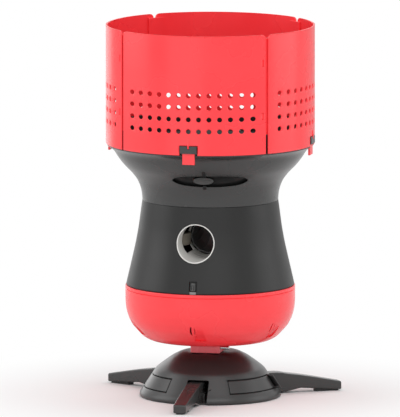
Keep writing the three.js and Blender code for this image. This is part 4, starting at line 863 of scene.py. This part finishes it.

# Floor: plain pale paper that keeps the object's soft shadow. To the camera and to rays through glass it
# fades to plain white between two distances from the object, as a studio sweep does.
floor = bpy.data.objects.new("studio_floor", bpy.data.meshes.new("studio_floor"))
floor.data.from_pydata([(-40, -40, 0), (40, -40, 0), (40, 40, 0), (-40, 40, 0)], [], [(0, 1, 2, 3)])
bpy.context.scene.collection.objects.link(floor)


def any_ray(nodes, links, *kinds):
    """1 for a ray of any of the named kinds, else 0."""
    ray = nodes.new("ShaderNodeLightPath")
    value = ray.outputs[kinds[0]]
    for kind in kinds[1:]:
        most = nodes.new("ShaderNodeMath")
        most.operation = "MAXIMUM"
        links.new(value, most.inputs[0])
        links.new(ray.outputs[kind], most.inputs[1])
        value = most.outputs[0]
    return value


def mixed(nodes, links, share, first, second, output):
    """Sends a mix of two shaders to an output."""
    mix = nodes.new("ShaderNodeMixShader")
    for socket, source in zip(mix.inputs, (share, first, second)):
        links.new(source, socket)
    links.new(mix.outputs[0], output)


paper = bpy.data.materials.new("pale_paper")
paper.use_nodes = True
nodes, links = paper.node_tree.nodes, paper.node_tree.links
nodes["Principled BSDF"].inputs["Base Color"].default_value = (0.85, 0.85, 0.85, 1)
nodes["Principled BSDF"].inputs["Roughness"].default_value = 0.9
nodes["Principled BSDF"].inputs["Specular IOR Level"].default_value = 0.1
glow = nodes.new("ShaderNodeEmission")
length = nodes.new("ShaderNodeVectorMath")
length.operation = "LENGTH"
links.new(nodes.new("ShaderNodeTexCoord").outputs["Object"], length.inputs[0])
fade = nodes.new("ShaderNodeMapRange")
fade.interpolation_type = "SMOOTHSTEP"
fade.inputs["From Min"].default_value, fade.inputs["From Max"].default_value = 0.15, 0.45
links.new(length.outputs["Value"], fade.inputs["Value"])
seen = nodes.new("ShaderNodeMath")
seen.operation = "MULTIPLY"
links.new(fade.outputs["Result"], seen.inputs[0])
links.new(any_ray(nodes, links, "Is Camera Ray", "Is Transmission Ray"), seen.inputs[1])
mixed(nodes, links, seen.outputs[0], nodes["Principled BSDF"].outputs[0], glow.outputs[0],
      nodes["Material Output"].inputs["Surface"])
floor.data.materials.append(paper)

# World and lamps: an even white surround, seen as plain white, with large soft lamps.
world = bpy.data.worlds.new("studio")
bpy.context.scene.world = world
world.use_nodes = True
nodes, links = world.node_tree.nodes, world.node_tree.links
nodes["Background"].inputs["Color"].default_value = (1, 1, 1, 1)
nodes["Background"].inputs["Strength"].default_value = 0.7
white = nodes.new("ShaderNodeBackground")
white.inputs["Color"].default_value = (1, 1, 1, 1)
mixed(nodes, links, any_ray(nodes, links, "Is Camera Ray", "Is Glossy Ray", "Is Transmission Ray"),
      nodes["Background"].outputs[0], white.outputs[0], nodes["World Output"].inputs["Surface"])


def lamp(name, azimuth, elevation, distance, size, power, target=(0, 0, 0.26)):
    """A square soft lamp that faces a target from a direction given by azimuth and elevation."""
    light = bpy.data.lights.new(name, "AREA")
    light.energy, light.size = power, size
    made = bpy.data.objects.new(name, light)
    a, e = math.radians(azimuth), math.radians(elevation)
    way = Vector((math.sin(a) * math.cos(e), -math.cos(a) * math.cos(e), math.sin(e)))
    made.location = Vector(target) + distance * way
    made.rotation_euler = (-way).to_track_quat("-Z", "Y").to_euler()
    bpy.context.scene.collection.objects.link(made)


lamp("key_lamp", 25, 35, 2.0, 1.4, 11)
lamp("left_lamp", -75, 20, 1.8, 1.2, 8)
lamp("right_lamp", 100, 15, 1.8, 1.2, 5)
lamp("back_lamp", 170, 40, 2.2, 1.4, 8)
lamp("front_lamp", -15, 8, 2.0, 1.4, 3)
lamp("left_rim_lamp", -140, 8, 1.8, 1.0, 2.5)

# Camera: a long lens from a little right of the front and a little above, at the photograph's angle.
view_azimuth, view_elevation, view_distance, view_height = math.radians(12.2), math.radians(7.7), 20.0, 0.571
camera_data = bpy.data.cameras.new("camera")
camera_data.lens = camera_data.sensor_width * view_distance / view_height
camera_data.clip_end = 100
camera = bpy.data.objects.new("camera", camera_data)
bpy.context.scene.collection.objects.link(camera)
bpy.context.scene.camera = camera
target = Vector((0, 0, 0.2587)) - 0.0141 * Vector((math.cos(view_azimuth), math.sin(view_azimuth), 0))
toward = Vector((math.sin(view_azimuth) * math.cos(view_elevation),
                 -math.cos(view_azimuth) * math.cos(view_elevation), math.sin(view_elevation)))
camera.location = target + view_distance * toward
camera.rotation_euler = (-toward).to_track_quat("-Z", "Y").to_euler()
bpy.context.scene.view_settings.view_transform = "Standard"
